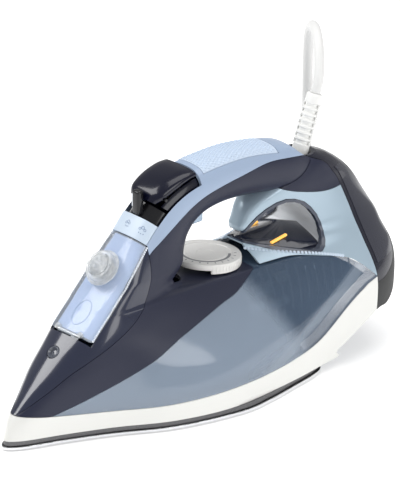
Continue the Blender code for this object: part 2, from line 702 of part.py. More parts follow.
def fill_door():
    """A clear door in the skin of the nose, with a hinge barrel at its foot."""
    door = arch_form("fill_door")
    cut(door, arch_form("under", 2.0 * MM))
    keep(door, slope_slab("frame", 1.9, DOOR_LENGTH - 0.3, DOOR_HALF, 8.0, 30))
    ends = Vector((8 * MM, 0, 0))
    join(door, rod("barrel", DOOR_HINGE - ends, DOOR_HINGE + ends, PIN / 2 + 0.9 * MM))
    cut(door, rod("bore", DOOR_HINGE - 2 * ends, DOOR_HINGE + 2 * ends, PIN / 2 + GAP))
    return finish(door, "clear")


def door_pin():
    ends = Vector((12 * MM, 0, 0))
    return rod("door_pin", DOOR_HINGE - ends, DOOR_HINGE + ends, PIN / 2, "steel", sides=12)


def fill_cap():
    matrix = frame_matrix(on_slope(0, FILLER_ALONG, 0), OUT_M)
    r = CAP / 2
    profile = ((r + 0.9 * MM, GAP), (r + 0.9 * MM, 1.6 * MM), (r, 2.2 * MM), (r, CAP_HEIGHT - 0.8 * MM),
               (r - 0.8 * MM, CAP_HEIGHT))
    return turned("fill_cap", profile, matrix, "clear")


def fill_panel():
    """The tray under the door, with the filling hole."""
    tray = slope_slab("fill_panel", 4.4, DOOR_LENGTH - 0.3, DOOR_HALF - 0.6, 7.8, -6.0, "filler")
    keep(tray, arch_form("limit", 2.8 * MM))
    hole = on_slope(0, FILLER_ALONG, 0)
    return cut(tray, rod("hole", hole - OUT_M * 0.02, hole + OUT_M * 0.02, FUNNEL / 2 + GAP))


def fill_funnel():
    start = on_slope(0, FILLER_ALONG, -8.2)
    pipe = rod("fill_funnel", start, FUNNEL_END, FUNNEL / 2, "filler", sides=16)
    run = (FUNNEL_END - start)
    return cut(pipe, rod("bore", start - run, FUNNEL_END + run, FUNNEL / 2 - 1.2 * MM, sides=16))


def spray_nozzle():
    matrix = frame_matrix(NOZZLE_AT, OUT_M)
    r = NOZZLE / 2
    body = turned("spray_nozzle", ((r, -9 * MM), (r, -1.4 * MM), (r - 0.7 * MM, -0.7 * MM)), matrix, "clear_grey")
    cut(body, turned("cone", ((r - 1.6 * MM, -2.6 * MM), (r - 0.9 * MM, 2 * MM)), matrix))
    return cut(body, rod("jet", matrix @ Vector((0, 0, -0.02)), matrix @ Vector((0, 0, 0.02)), 0.8 * MM, sides=8))


def icon_band():
    band = arch_form("icon_band")
    cut(band, arch_form("under", 2.0 * MM))
    keep(band, slope_slab("frame", DOOR_LENGTH + 0.3, BAND_LENGTH - 0.2, 16.2, 12.0, 30))
    return finish(band, "band")


# ---------------------------------------------------------------- controls

HUB_RADIUS = 15.6 * MM
HUB_LOW = on_slope(0, BAND_LENGTH + 0.4, -16.4)
HUB_TOP = on_slope(0, HUB_LENGTH - 0.4, -16.4)


def selector():
    """The steam selector: a round hub across the handle with a post to turn it by."""
    hub = rod("selector", HUB_LOW, HUB_TOP, HUB_RADIUS, "gloss_black", sides=40)
    middle = (BAND_LENGTH + HUB_LENGTH) / 2
    post = block("post", on_slope(0, middle - 1.2, 1.4), (5.2 * MM, 5.2 * MM, 9 * MM), bevel=0.8 * MM, turn=SLOPE_TURN)
    return join(hub, post)


def valve_rod():
    """The needle that the selector lifts to let water drip into the casting."""
    foot = at(*VALVE_AT, 0)
    low, high = CASTING_TOP + 2 * MM, at(0, 0, 108).z
    return rod("valve_rod", Vector((foot.x, foot.y, low)), Vector((foot.x, foot.y, high)), VALVE_ROD / 2, "steel",
               sides=12)


TRIGGER_STATIONS = (
    ((119.5, 143.0), (124.2, 139.6), 11.5),
    ((123.0, 148.6), (129.0, 141.6), 14.6),
    ((133.0, 154.0), (138.0, 145.4), 15.8),
    ((145.0, 156.9), (148.0, 149.4), 15.9),
    ((153.0, 157.0), (155.4, 151.0), 15.4),
)
TRIGGER_HINGE = at(0, 127.5, 143.6)
PUMP_AT = (148.5, 148.2)


def trigger():
    rings = smooth_rings([section_ring(f, b, w) for f, b, w in TRIGGER_STATIONS])
    pad = loft("trigger", rings, "navy")
    ends = Vector((20 * MM, 0, 0))
    return cut(pad, rod("bore", TRIGGER_HINGE - ends, TRIGGER_HINGE + ends, PIN / 2 + GAP, sides=12))


def trigger_pin():
    ends = Vector((16.3 * MM, 0, 0))
    return rod("trigger_pin", TRIGGER_HINGE - ends, TRIGGER_HINGE + ends, PIN / 2, "steel", sides=12)


def pump():
    """The spray and boost pump under the trigger: body, piston and return spring."""
    top = at(0, *PUMP_AT)
    up = Vector((0, 0, 1))
    body = rod("pump_body", top - up * 22 * MM, top - up * 10 * MM, PISTON / 2 + 3 * MM, "white", sides=16)
    cut(body, rod("bore", top - up * 20 * MM, top, PISTON / 2 + GAP, sides=16))
    piston = rod("pump_piston", top - up * 16.5 * MM, top - up * 1.6 * MM, PISTON / 2, "white", sides=16)
    join(piston, rod("head", top - up * 2.6 * MM, top - up * 0.9 * MM, PISTON / 2 + 2.4 * MM, sides=16))
    wire, turns, per_turn = 0.5 * MM, 3, 10
    low, high = top.z - 9.4 * MM, top.z - 3.1 * MM
    points = [Vector((top.x + (PISTON / 2 + 1.3 * MM) * math.cos(2 * math.pi * k / per_turn),
                      top.y + (PISTON / 2 + 1.3 * MM) * math.sin(2 * math.pi * k / per_turn),
                      low + (high - low) * k / (turns * per_turn))) for k in range(turns * per_turn + 1)]
    tube("pump_spring", points, wire, "steel", 0)


def steam_tab():
    """The steam trigger that a finger pulls up under the handle."""
    return block("steam_tab", TAB_AT, (TAB_WIDTH, TAB_RUN, 13 * MM), "tab", 1.4 * MM)


def dial():
    """The thermostat dial: a thin disc with a deeper lip round part of its rim, on a spindle."""
    matrix = Matrix.Translation(at(0, *DIAL_AT)) @ Matrix.Rotation(-DIAL_TILT, 4, "X")
    r = DIAL / 2
    disc = turned("dial", ((r - 0.6 * MM, -DIAL_DISC / 2), (r, -DIAL_DISC / 2 + 0.6 * MM), (r, DIAL_DISC / 2 - 0.6 * MM),
                           (r - 0.6 * MM, DIAL_DISC / 2)), matrix, "dial", sides=48)
    low, high = DIAL_DISC / 2 - DIAL_LIP, DIAL_DISC / 2 - 1.2 * MM
    arc = [math.radians(a) for a in range(-32, 71, 17)]
    outer = [(r - 0.3 * MM) * Vector((math.cos(a), math.sin(a))) for a in arc]
    inner = [(r - 3.0 * MM) * Vector((math.cos(a), math.sin(a))) for a in arc[::-1]]
    lip = loft("lip", [[matrix @ Vector((p.x, p.y, z)) for p in outer + inner] for z in (low, high)])
    return join(disc, lip)


def spindle():
    top = at(0, *DIAL_AT) - DIAL_AXIS * (DIAL_DISC / 2 + GAP)
    foot = DIAL_FOOT + DIAL_AXIS * (THERMOSTAT_TOP + 3 * GAP) / DIAL_AXIS.z
    return rod("dial_spindle", foot, top, SPINDLE / 2, "white", sides=16)


THERMOSTAT = Vector((14, 24, 6)) * MM
THERMOSTAT_TOP = CASTING_TOP + 2 * GAP + 1.4 * MM + THERMOSTAT.z
SCREW_TOP = CASTING_TOP + 2 * GAP + 2.6 * MM
DIAL_FOOT = at(0, *DIAL_AT) - DIAL_AXIS * at(0, *DIAL_AT).z / DIAL_AXIS.z


def thermostat():
    low = CASTING_TOP + 2 * GAP + 1.4 * MM
    return block("thermostat", DIAL_FOOT + Vector((0, 0, (low + THERMOSTAT_TOP) / 2)), THERMOSTAT, "white", 0.6 * MM)


def thermal_fuse():
    low = CASTING_TOP + 2 * GAP + 1.4 * MM
    centre = DIAL_FOOT + Vector((0, -THERMOSTAT.y / 2 - 5.5 * MM, low + 2.2 * MM))
    return rod("thermal_fuse", centre - Vector((9 * MM, 0, 0)), centre + Vector((9 * MM, 0, 0)), 2 * MM, "steel", sides=12)


def cover_screws():
    top = CASTING_TOP + GAP + 1.4 * MM + GAP
    for name, (x, s) in zip(("left", "right", "rear"), SCREW_PLACES):
        foot = at(x, s, 0)
        shank = rod("cover_screw_" + name, foot + Vector((0, 0, top - SCREW_LENGTH)), foot + Vector((0, 0, top + MM)),
                    SCREW / 2, "steel", sides=12)
        join(shank, rod("head", foot + Vector((0, 0, top)), foot + Vector((0, 0, top + 1.2 * MM)), SCREW, sides=12))


def terminal_block():
    return block("terminal_block", at(0, 284, 94), (18 * MM, 12 * MM, 20 * MM), "white", 1 * MM)


# ---------------------------------------------------------------- window

def window_trims():
    """A dark frame round the window on each side."""
    for name, low, high in (("window_trim_left", -60, -2), ("window_trim_right", 2, 60)):
        ring = rear_form(name, -0.35 * MM)
        keep(ring, prism("side", ((150, 60), (290, 60), (290, 130), (150, 130)), x_from=low, x_to=high),
             window_prism(-GAP))
        cut(ring, rear_form("inside", 3.2 * MM), window_prism(-2.4 * MM))
        finish(ring, "trim")


LENS_AT = (14.0, 227.5, 86.0)
LENS = Vector((2.4, 13.0, 1.8)) * MM


def lamp_housing():
    """The faceted floor of the window, highest in the middle, with the lamp behind its lenses."""
    corners = [(x * side, s, z) for side in (-1, 1) for x, s, z in
               ((14, 204, 87.4), (24, 230.6, 82.9), (28, 254, 79.5), (14, 204, 76), (24, 231, 72), (28, 254, 72))]
    corners += [(0, 204, 91.0), (0, 243, 90.2), (0, 256, 86.0)]
    bm = bmesh.new()
    for p in corners:
        bm.verts.new(at(*p))
    found = bmesh.ops.convex_hull(bm, input=bm.verts)
    loose = [v for v in found["geom_interior"] + found["geom_unused"] if isinstance(v, bmesh.types.BMVert)]
    bmesh.ops.delete(bm, geom=loose, context="VERTS")
    floor = keep(place(bm, "lamp_housing", "navy"), window_prism(-0.7 * MM), rear_form("limit", 3.7 * MM))
    for side in (-1, 1):
        cut(floor, block("pocket", at(LENS_AT[0] * side, *LENS_AT[1:]), LENS + Vector((2, 2, 2)) * GAP))
    return floor


def indicator_lenses():
    for name, side in (("indicator_lens_left", -1), ("indicator_lens_right", 1)):
        block(name, at(LENS_AT[0] * side, *LENS_AT[1:]), LENS, "amber", 0.5 * MM)


# ---------------------------------------------------------------- cord

def strain_relief():
    """A ribbed sleeve, with a plain collar at its tip."""
    matrix = frame_matrix(at(0, *RELIEF_AT), RELIEF_AXIS)
    base, tip = RELIEF_BASE / 2, RELIEF_TIP / 2
    profile = [(base - 1 * MM, -4 * MM), (base, -3.4 * MM)]
    ribs, first, last = 7, 4 * MM, RELIEF_LENGTH - 8 * MM
    for k in range(ribs):
        z = first + (last - first) * k / (ribs - 1)
        r = base + (tip - base) * z / RELIEF_LENGTH
        profile += [(r, z - 1.1 * MM), (r - 1.1 * MM, z - 0.7 * MM), (r - 1.1 * MM, z + 0.7 * MM), (r, z + 1.1 * MM)]
    profile += [(tip, RELIEF_LENGTH - 1 * MM), (tip - 0.8 * MM, RELIEF_LENGTH)]
    return turned("strain_relief", profile, matrix, "white", sides=16)


CORD_EXIT = at(0, *RELIEF_AT) + RELIEF_AXIS * (RELIEF_LENGTH + GAP)
COIL_FOOT = TIE + 0.1 * MM
DROP = (
    (-2.6, 118.0, 186.5), (-9.5, 124.0, 197.5), (-19.5, 131.0, 203.5), (-30.5, 138.0, 203.0), (-40.5, 144.5, 195.5),
    (-47.0, 149.0, 182.0), (-50.5, 151.5, 162.0), (-52.5, 153.0, 135.0), (-54.5, 154.0, 105.0), (-57.0, 154.5, 75.0),
    (-60.5, 154.5, 47.0), (-66.5, 153.0, 24.0), (-76.0, 149.0, 9.5), (-88.5, 143.5, 5.2), (-100.0, 139.6, 5.0))
# The drop moves with the sleeve's tip, less and less towards the coil.
DROP_SHIFT = CORD_EXIT - Vector((0, 112.27, 172.6)) * MM
CORD_ROUTE = [Vector(p) * MM + DROP_SHIFT * (1 - k / len(DROP)) for k, p in enumerate(DROP)]
CORD_ROUTE.append(COIL_AT + Vector((0, COIL_RADIUS + COIL_WIDTH / 2 + CORD / 2 + GAP, 5.0 * MM)))


def cord():
    """The free stretch of the lead: up out of the sleeve, over, and down behind the heel to the coil."""
    start = [CORD_EXIT, CORD_EXIT + RELIEF_AXIS * 7 * MM]
    return tube("cord", smooth(start + CORD_ROUTE, 3), CORD / 2, "white", 2)


def cord_coil():
    """The outer shape of the wound part of the lead."""
    half, inner, outer = COIL_HEIGHT / 2, COIL_RADIUS - COIL_WIDTH / 2, COIL_RADIUS + COIL_WIDTH / 2
    matrix = Matrix.Translation(COIL_AT + Vector((0, 0, COIL_FOOT + half)))
    soft = 2.5 * MM
    ring = turned("cord_coil", ((outer - soft, -half), (outer, soft - half), (outer, half - soft), (outer - soft, half)),
                  matrix, "white", sides=32)
    return cut(ring, turned("eye", ((inner, -0.02), (inner, 0.02)), matrix, sides=32))


def coil_tie():
    centre = COIL_AT + Vector((-COIL_RADIUS, 0, COIL_FOOT + COIL_HEIGHT / 2))
    hole = (COIL_WIDTH + 2 * GAP, 20 * MM, COIL_HEIGHT + 2 * (COIL_FOOT - TIE))
    size = (COIL_WIDTH + 2 * GAP + 2 * TIE, 6 * MM, hole[2] + 2 * TIE)
    strap = block("coil_tie", centre, size, "bumper", 0.5 * MM)
    return cut(strap, block("hole", centre, hole))


PLUG_FOOT = COIL_FOOT + COIL_HEIGHT + GAP
PLUG_AT = COIL_AT + Vector((26 * MM, 4 * MM, PLUG_FOOT + PLUG_HEIGHT / 2))


def plug():
    """A rounded plug with two pins, lying across the coil."""
    body = block("plug_body", PLUG_AT, (PLUG_WIDTH, PLUG_LENGTH, PLUG_HEIGHT), "white", 4 * MM)
    face = PLUG_AT + Vector((0, PLUG_LENGTH / 2, 0))
    for name, x in (("plug_pin_left", -9.5 * MM), ("plug_pin_right", 9.5 * MM)):
        spot = face + Vector((x, 0, 0))
        cut(body, rod("socket", spot + Vector((0, 0.01, 0)), spot - Vector((0, 6 * MM, 0)), 2.4 * MM + GAP, sides=12))
        rod(name, spot + Vector((0, 19 * MM, 0)), spot - Vector((0, 6 * MM - GAP, 0)), 2.4 * MM, "brass", sides=12)


# ---------------------------------------------------------------- build

bpy.context.scene.unit_settings.scale_length = 1.0
for old in list(bpy.data.objects):
    bpy.data.objects.remove(old)
PARTS = new_collection("steam_iron")
CUTTERS = new_collection("cutters")
MATERIALS = {
    "sole": material("dark_sole", (0.1, 0.1, 0.1), 0.35, 0.6),
    "casting": material("cast_aluminium", (0.55, 0.55, 0.56), 0.5, 1.0),
    "steel": material("plain_steel", (0.6, 0.6, 0.6), 0.3, 1.0),
    "brass": material("pin_metal", (0.75, 0.7, 0.6), 0.25, 1.0),
    "skirt": material("white_plastic", (0.9, 0.9, 0.87), 0.35),
    "white": material("white_parts", (0.85, 0.85, 0.84), 0.45),
    "dial": material("dial_white", (0.83, 0.82, 0.8), 0.4),
    "tank": material("blue_tank", (0.35, 0.5, 0.65), 0.15, alpha=0.5),
    "clear": material("clear_door", (0.75, 0.82, 0.9), 0.08, alpha=0.4),
    "clear_grey": material("nozzle_grey", (0.2, 0.21, 0.24), 0.3),
    "filler": material("filler_blue", (0.4, 0.56, 0.85), 0.4),
    "band": material("band_blue", (0.7, 0.82, 0.93), 0.35),
    "tab": material("tab_blue", (0.5, 0.62, 0.75), 0.25),
    "navy": material("navy_gloss", (0.015, 0.02, 0.045), 0.25),
    "navy_side": material("navy_satin", (0.045, 0.05, 0.085), 0.45),
    "gloss_black": material("gloss_black", (0.02, 0.018, 0.018), 0.12),
    "trim": material("trim_navy", (0.05, 0.06, 0.1), 0.3),
    "amber": material("amber_lens", (0.95, 0.5, 0.08), 0.25),
    "cover": material("light_blue", (0.42, 0.52, 0.68), 0.35),
    "grip": material("grip_blue", (0.6, 0.75, 0.9), 0.7),
    "satin": material("satin_blue", (0.45, 0.55, 0.63), 0.4),
    "heel": material("heel_navy", (0.03, 0.03, 0.05), 0.3),
    "bumper": material("black_rubber", (0.02, 0.02, 0.02), 0.7),
}

for make in (soleplate, casting, heating_element, chamber_cover, cover_screws, thermostat, thermal_fuse, skirt,
             water_tank, nose_cap, housing, handle_cover, grip_pad, rear_panel, rear_webs, heel_cover, heel_bumper,
             fill_door, door_pin, fill_cap, fill_panel, fill_funnel, spray_nozzle, icon_band, selector, valve_rod,
             trigger, trigger_pin, pump, steam_tab, dial, spindle, terminal_block, window_trims, lamp_housing,
             indicator_lenses, strain_relief, cord, cord_coil, coil_tie, plug):
    make()
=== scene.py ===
"""The finished look of the steam iron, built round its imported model.

Forms are drawn in millimetres, as (x, s, z): x is the half breadth, s the distance back from the nose tip and z
the height. at() turns them into metres in the model's frame. The functions that make forms take their sizes and
insets in millimetres too; points are in metres.
"""

import math

import bmesh
import bpy
from mathutils import Matrix, Vector
from mathutils.bvhtree import BVHTree


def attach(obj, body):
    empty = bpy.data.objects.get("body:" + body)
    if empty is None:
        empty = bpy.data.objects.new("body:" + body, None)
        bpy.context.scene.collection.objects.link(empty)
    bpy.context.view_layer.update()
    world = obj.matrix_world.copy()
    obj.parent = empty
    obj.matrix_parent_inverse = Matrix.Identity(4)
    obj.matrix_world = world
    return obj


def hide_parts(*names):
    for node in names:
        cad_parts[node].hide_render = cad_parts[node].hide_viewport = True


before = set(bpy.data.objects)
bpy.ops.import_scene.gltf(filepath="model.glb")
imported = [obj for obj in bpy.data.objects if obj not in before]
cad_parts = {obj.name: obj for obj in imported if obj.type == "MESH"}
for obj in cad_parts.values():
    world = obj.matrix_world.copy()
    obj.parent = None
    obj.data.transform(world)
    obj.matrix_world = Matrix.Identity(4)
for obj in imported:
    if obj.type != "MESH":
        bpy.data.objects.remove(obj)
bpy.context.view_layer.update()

MM = 0.001
GAP = 0.35                          # between touching pieces
WALL = 2.2                          # thickness of a shell
MIDDLE = 160.0                      # half the iron's length
FINE = 6       # samples between two points of an outline
RINGS = 5      # rings between two levels of a form


def at(x, s, z):
    return Vector((x, s - MIDDLE, z)) * MM


# ---------------------------------------------------------------- materials

class Value:
    """One output of a material's nodes, with arithmetic."""

    def __init__(self, paint, socket):
        self.paint, self.socket = paint, socket

    def sum_with(self, operation, *others):
        return self.paint.node("Math", {"operation": operation}, {i: v for i, v in enumerate(others)})

    def __add__(self, other):
        return self.sum_with("ADD", self, other)

    def __sub__(self, other):
        return self.sum_with("SUBTRACT", self, other)

    def __rsub__(self, other):
        return self.sum_with("SUBTRACT", other, self)

    def __mul__(self, other):
        return self.sum_with("MULTIPLY", self, other)

    def __pow__(self, other):
        return self.sum_with("POWER", self, other)

    def over(self, edge, soft):
        """0 below the edge and 1 above it, over a soft width."""
        return self.paint.node("MapRange", {"interpolation_type": "SMOOTHSTEP"},
                               {0: self, 1: edge - soft / 2, 2: edge + soft / 2})

    def within(self, low, high, soft):
        return self.over(low, soft) * (1 - self.over(high, soft))

    def parts(self):
        split = self.paint.node("SeparateXYZ", {}, {0: self}).socket.node
        return [Value(self.paint, out) for out in split.outputs]


class Paint:
    """A finish: its fixed values are set on the shader, and node() adds what varies over a surface."""

    def __init__(self, name, colour, roughness, **fixed):
        self.made = bpy.data.materials.new(name)
        self.made.use_nodes = True
        self.tree = self.made.node_tree
        self.shader = self.tree.nodes["Principled BSDF"]
        self.colour, self.roughness = colour, roughness
        self.shader.inputs["Base Color"].default_value = (*colour, 1)
        self.shader.inputs["Roughness"].default_value = roughness
        self.made.diffuse_color = (*colour, 1)
        for key, value in fixed.items():
            self.shader.inputs[key.replace("_", " ").title().replace("Ior", "IOR")].default_value = value

    def node(self, kind, settings, inputs, output=0):
        made = self.tree.nodes.new("ShaderNode" + kind)
        for key, value in settings.items():
            setattr(made, key, value)
        for key, value in inputs.items():
            if isinstance(value, Value):
                self.tree.links.new(value.socket, made.inputs[key])
            else:
                made.inputs[key].default_value = value
        return Value(self, made.outputs[output])

    def place(self):
        return self.node("TexCoord", {}, {}, "Object")

    def noise(self, scale, detail=3.0, stretch=None):
        where = self.place()
        if stretch:
            where = self.node("VectorMath", {"operation": "MULTIPLY"}, {0: where, 1: stretch})
        return self.node("TexNoise", {}, {"Vector": where, "Scale": scale, "Detail": detail})

    def cells(self, scale):
        return self.node("TexVoronoi", {"feature": "F1"}, {"Vector": self.place(), "Scale": scale})

    def mix(self, mask, a, b):
        plain = lambda c: (*c, 1) if isinstance(c, tuple) and len(c) == 3 else c
        return self.node("Mix", {"data_type": "RGBA"}, {0: mask, 6: plain(a), 7: plain(b)}, 2)

    def set(self, **links):
        for key, value in links.items():
            self.tree.links.new(value.socket, self.shader.inputs[key.replace("_", " ").title()])
        return self

    def bump(self, height, depth):
        """Relief of a depth in metres."""
        relief = self.node("Bump", {}, {"Strength": 1.0, "Distance": depth, "Height": height})
        return self.set(normal=relief)


def scaled(colour, k):
    return tuple(min(1.0, c * k) for c in colour)


def moulded(name, colour, roughness, grain=0.0, wear=0.06, **fixed):
    """Moulded plastic: slow colour drift, uneven gloss, a fine grain and a little dust in the gloss."""
    paint = Paint(name, colour, roughness, **fixed)
    drift = paint.noise(14.0, 2.0)
    paint.set(base_color=paint.mix(drift, scaled(colour, 1 - wear), scaled(colour, 1 + wear)))
    smears = paint.noise(60.0, 4.0, (1.0, 0.35, 1.0))
    paint.set(roughness=(smears - 0.5) * (0.35 * roughness) + roughness)
    fine = paint.noise(1400.0, 2.0)
    waves = paint.noise(35.0, 1.0)
    paint.bump(fine * grain + waves * 0.25, 0.00012)
    return paint


def metal(name, colour, roughness, brushed=(1.0, 1.0, 1.0), grain=0.4):
    """Metal with fine lines, drawn out by the brushed stretch."""
    paint = Paint(name, colour, roughness, metallic=1.0)
    lines = paint.noise(700.0, 3.0, brushed)
    paint.set(base_color=paint.mix(lines, scaled(colour, 0.86), scaled(colour, 1.1)),
              roughness=(lines - 0.5) * 0.18 + roughness)
    paint.bump(lines * grain, 0.00008)
    return paint


def finish_list():
    made = {
        "navy": moulded("navy_gloss", (0.0125, 0.017, 0.042), 0.17, coat_weight=0.6, coat_roughness=0.05),
        "navy_side": moulded("navy_satin", (0.018, 0.021, 0.044), 0.40, 0.5, specular_ior_level=0.35),
        "trigger": moulded("trigger_navy", (0.0035, 0.0045, 0.016), 0.2, 0.1, specular_ior_level=0.3,
                           coat_weight=0.25, coat_roughness=0.05),
        "gloss_black": moulded("selector_black", (0.012, 0.012, 0.014), 0.16, specular_ior_level=0.3,
                               coat_weight=0.2, coat_roughness=0.04),
        "cover": moulded("handle_blue", (0.34, 0.43, 0.58), 0.33, 0.35, 0.03),
        "satin": moulded("rear_satin", (0.40, 0.51, 0.60), 0.30, 0.3, 0.05, metallic=0.25, coat_weight=0.3,
                         coat_roughness=0.12),
        "heel": moulded("heel_navy", (0.014, 0.015, 0.027), 0.26, 0.3, specular_ior_level=0.35,
                        coat_weight=0.25, coat_roughness=0.1),
        "trim": moulded("window_trim", (0.045, 0.055, 0.085), 0.26, 0.2, coat_weight=0.4),
        "skirt": moulded("skirt_white", (0.80, 0.80, 0.77), 0.3, 0.2, 0.02, coat_weight=0.25,
                         coat_roughness=0.15),
        "white": moulded("white_parts", (0.88, 0.88, 0.86), 0.42, 0.5, 0.03),
        "filler": moulded("filler_blue", (0.42, 0.55, 0.82), 0.3, 0.3, 0.05, coat_weight=0.4),
        "band": moulded("band_blue", (0.58, 0.68, 0.80), 0.34, 0.3, 0.03),
        "core": moulded("tank_core", (0.075, 0.13, 0.20), 0.3, 0.1, 0.25),
        "rib": moulded("tank_ribs", (0.42, 0.55, 0.68), 0.25, 0.1, 0.1, alpha=0.55),
        "heel_gloss": moulded("heel_gloss", (0.024, 0.026, 0.042), 0.12, 0.05, coat_weight=0.8,
                              coat_roughness=0.03),
        "filler_dark": moulded("filler_mark", (0.25, 0.38, 0.62), 0.3, 0.1),
        "floor": moulded("lamp_floor", (0.014, 0.017, 0.034), 0.2, 0.3, coat_weight=0.3),
        "cap_inner": moulded("cap_inner", (0.34, 0.37, 0.40), 0.3, 0.1, 0.2),
        "print": moulded("print_blue", (0.16, 0.24, 0.40), 0.4, 0.2),
        "bumper": moulded("bumper_rubber", (0.024, 0.025, 0.026), 0.62, 1.0, 0.12),
        "grip": moulded("grip_blue", (0.56, 0.66, 0.80), 0.55, 0.8, 0.05),
        "sheath": moulded("cord_sheath", (0.78, 0.78, 0.77), 0.45, 0.4, 0.04),
        "tab": moulded("tab_blue", (0.42, 0.56, 0.72), 0.2, 0.1, 0.05, coat_weight=0.5, alpha=0.85),
        "nozzle": moulded("nozzle_grey", (0.11, 0.12, 0.15), 0.16, 0.1, 0.1, coat_weight=0.5),
        "sole_edge": metal("sole_edge", (0.74, 0.75, 0.77), 0.16, (1.0, 0.1, 4.0)),
        "chromed": metal("bright_facets", (0.82, 0.86, 0.92), 0.14),
        "steel": metal("plain_steel", (0.56, 0.57, 0.58), 0.3, (3.0, 0.2, 3.0)),
        "pins": metal("plated_pins", (0.76, 0.72, 0.62), 0.2, (1.0, 0.2, 1.0)),
        "casting": metal("cast_aluminium", (0.52, 0.52, 0.53), 0.5, (0.5, 0.5, 0.5), 1.0),
        "sole": metal("sole_dark", (0.13, 0.13, 0.135), 0.3, (4.0, 0.15, 1.0), 0.3),
    }

    # The window's tunnel: dark in front, with painted light on the lining behind.
    tunnel = made["tunnel"] = moulded("window_tunnel", (0.10, 0.14, 0.21), 0.3, 0.3)
    along = tunnel.place().parts()[1]
    tunnel.set(base_color=tunnel.mix(along.over(0.072, 0.004), (0.05, 0.07, 0.115), (0.86, 0.89, 0.92)))

    # Clear mouldings. The tank's tint is lighter towards the front and bottom and darker towards the rear and top.
    tank = made["tank"] = Paint("tank_blue", (0.30, 0.43, 0.56), 0.1, coat_weight=0.6, coat_roughness=0.04,
                                specular_ior_level=0.6)
    along, up = tank.place().parts()[1:]
    rearward = (along + up * 0.6).over(0.068, 0.02)
    # A painted highlight: a pale diagonal streak laid into the tank wall's colour.
    painted_highlight_streak = (along * 0.5 - up).within(-0.012, -0.004, 0.003) * 0.5
    flow = tank.noise(9.0, 2.0, (1.0, 0.5, 1.6))
    tint = tank.mix(rearward, (0.37, 0.45, 0.56), (0.022, 0.055, 0.115))
    tint = tank.mix(painted_highlight_streak, tint, (0.50, 0.58, 0.68))
    tank.set(base_color=tank.mix(flow * 0.3, tint, (0.34, 0.43, 0.54)))
    tank.set(alpha=rearward * 0.08 + flow * 0.1 + 0.42)
    tank.bump(tank.noise(40.0, 1.0), 0.00015)

    door = made["clear"] = Paint("door_clear", (0.78, 0.86, 0.96), 0.06, coat_weight=0.5, coat_roughness=0.03)
    door.set(alpha=door.noise(30.0, 2.0) * 0.10 + 0.16)
    door.set(base_color=door.mix(door.noise(30.0, 2.0), (0.70, 0.80, 0.93), (0.86, 0.92, 1.0)))
    door.bump(door.noise(45.0, 1.0), 0.00012)

    cap = made["cap"] = Paint("cap_clear", (0.80, 0.83, 0.84), 0.09, coat_weight=0.6, coat_roughness=0.03)
    cap.set(alpha=cap.noise(120.0, 1.0) * 0.2 + 0.36)
    cap.set(base_color=cap.mix(cap.cells(300.0), (0.50, 0.53, 0.55), (0.78, 0.80, 0.81)))
    cap.bump(cap.cells(300.0), 0.00025)

    amber = made["amber"] = Paint("lamp_amber", (0.95, 0.52, 0.10), 0.25, coat_weight=0.4, emission_strength=0.9)
    glow = amber.noise(160.0, 1.0)
    amber.set(base_color=amber.mix(glow, (0.90, 0.42, 0.05), (1.0, 0.66, 0.20)),
              emission_color=amber.mix(glow, (0.85, 0.36, 0.02), (1.0, 0.60, 0.16)))
    amber.bump(amber.noise(600.0, 1.0), 0.0001)

    # The dial: an arc and ticks printed on its top face.
    dial = made["dial"] = Paint("dial_white", (0.80, 0.79, 0.76), 0.36, coat_weight=0.15)
    where = dial.node("VectorMath", {"operation": "SUBTRACT"}, {0: dial.place(), 1: tuple(at(0, 176.0, 87.5))})
    across, along, up = where.parts()
    radius = (across * across + along * along) ** 0.5
    turn = dial.node("Math", {"operation": "ARCTAN2"}, {0: along, 1: across})
    ring = radius.within(0.0148, 0.0166, 0.0004) * turn.within(-2.1, 0.9, 0.05)
    ticks = dial.node("Math", {"operation": "FRACT"}, {0: turn * 3.8197})
    marks = radius.within(0.0186, 0.0203, 0.0003) * ticks.within(0.42, 0.58, 0.05) * turn.within(-2.2, 1.0, 0.02)
    dark = dial.node("Math", {"operation": "MAXIMUM"}, {0: ring, 1: marks}) * up.over(-0.002, 0.0005)
    drift = dial.mix(dial.noise(20.0, 2.0), (0.78, 0.77, 0.745), (0.83, 0.82, 0.80))
    dial.set(base_color=dial.mix(dark, drift, (0.24, 0.245, 0.26)), roughness=dark * 0.2 + 0.33)
    dial.bump(dial.noise(1300.0, 2.0) * 0.5, 0.0001)
    return {key: paint.made for key, paint in made.items()}


FINISHES = finish_list()


# ---------------------------------------------------------------- curves and meshes

def catmull(a, b, c, d, t):
    return 0.5 * (2 * b + (c - a) * t + (2 * a - 5 * b + 4 * c - d) * t * t + (3 * b - a - 3 * c + d) * t ** 3)


def smooth(points, steps=FINE, closed=False):
    """Points read from a smooth curve through the given ones."""
    points = [Vector(p) for p in points]
    n = len(points)
    if closed:
        get = lambda i: points[i % n]
    else:
        before, after = 2 * points[0] - points[1], 2 * points[-1] - points[-2]
        get = lambda i: before if i < 0 else after if i >= n else points[i]
    found = []
    for i in range(n if closed else n - 1):
        found += [catmull(get(i - 1), get(i), get(i + 1), get(i + 2), k / steps) for k in range(steps)]
    if not closed:
        found.append(points[-1])
    return found


def whole_ring(half, inset=0.0, steps=FINE):
    """A closed ring from a half outline of (x, s) that starts and ends on the centre line, moved in by inset."""
    half = [Vector(p) for p in half]
    if inset:
        ends = [Vector((-half[1].x, half[1].y))] + half + [Vector((-half[-2].x, half[-2].y))]
        runs = [(ends[i + 2] - ends[i]).normalized() for i in range(len(half))]
        half = [p + Vector((-run.y, run.x)) * inset for p, run in zip(half, runs)]
    mirrored = half + [Vector((-p.x, p.y)) for p in half[-2:0:-1]]
    return smooth(mirrored, steps, closed=True)


HIDDEN = bpy.data.collections.new("cutters")
bpy.context.scene.collection.children.link(HIDDEN)


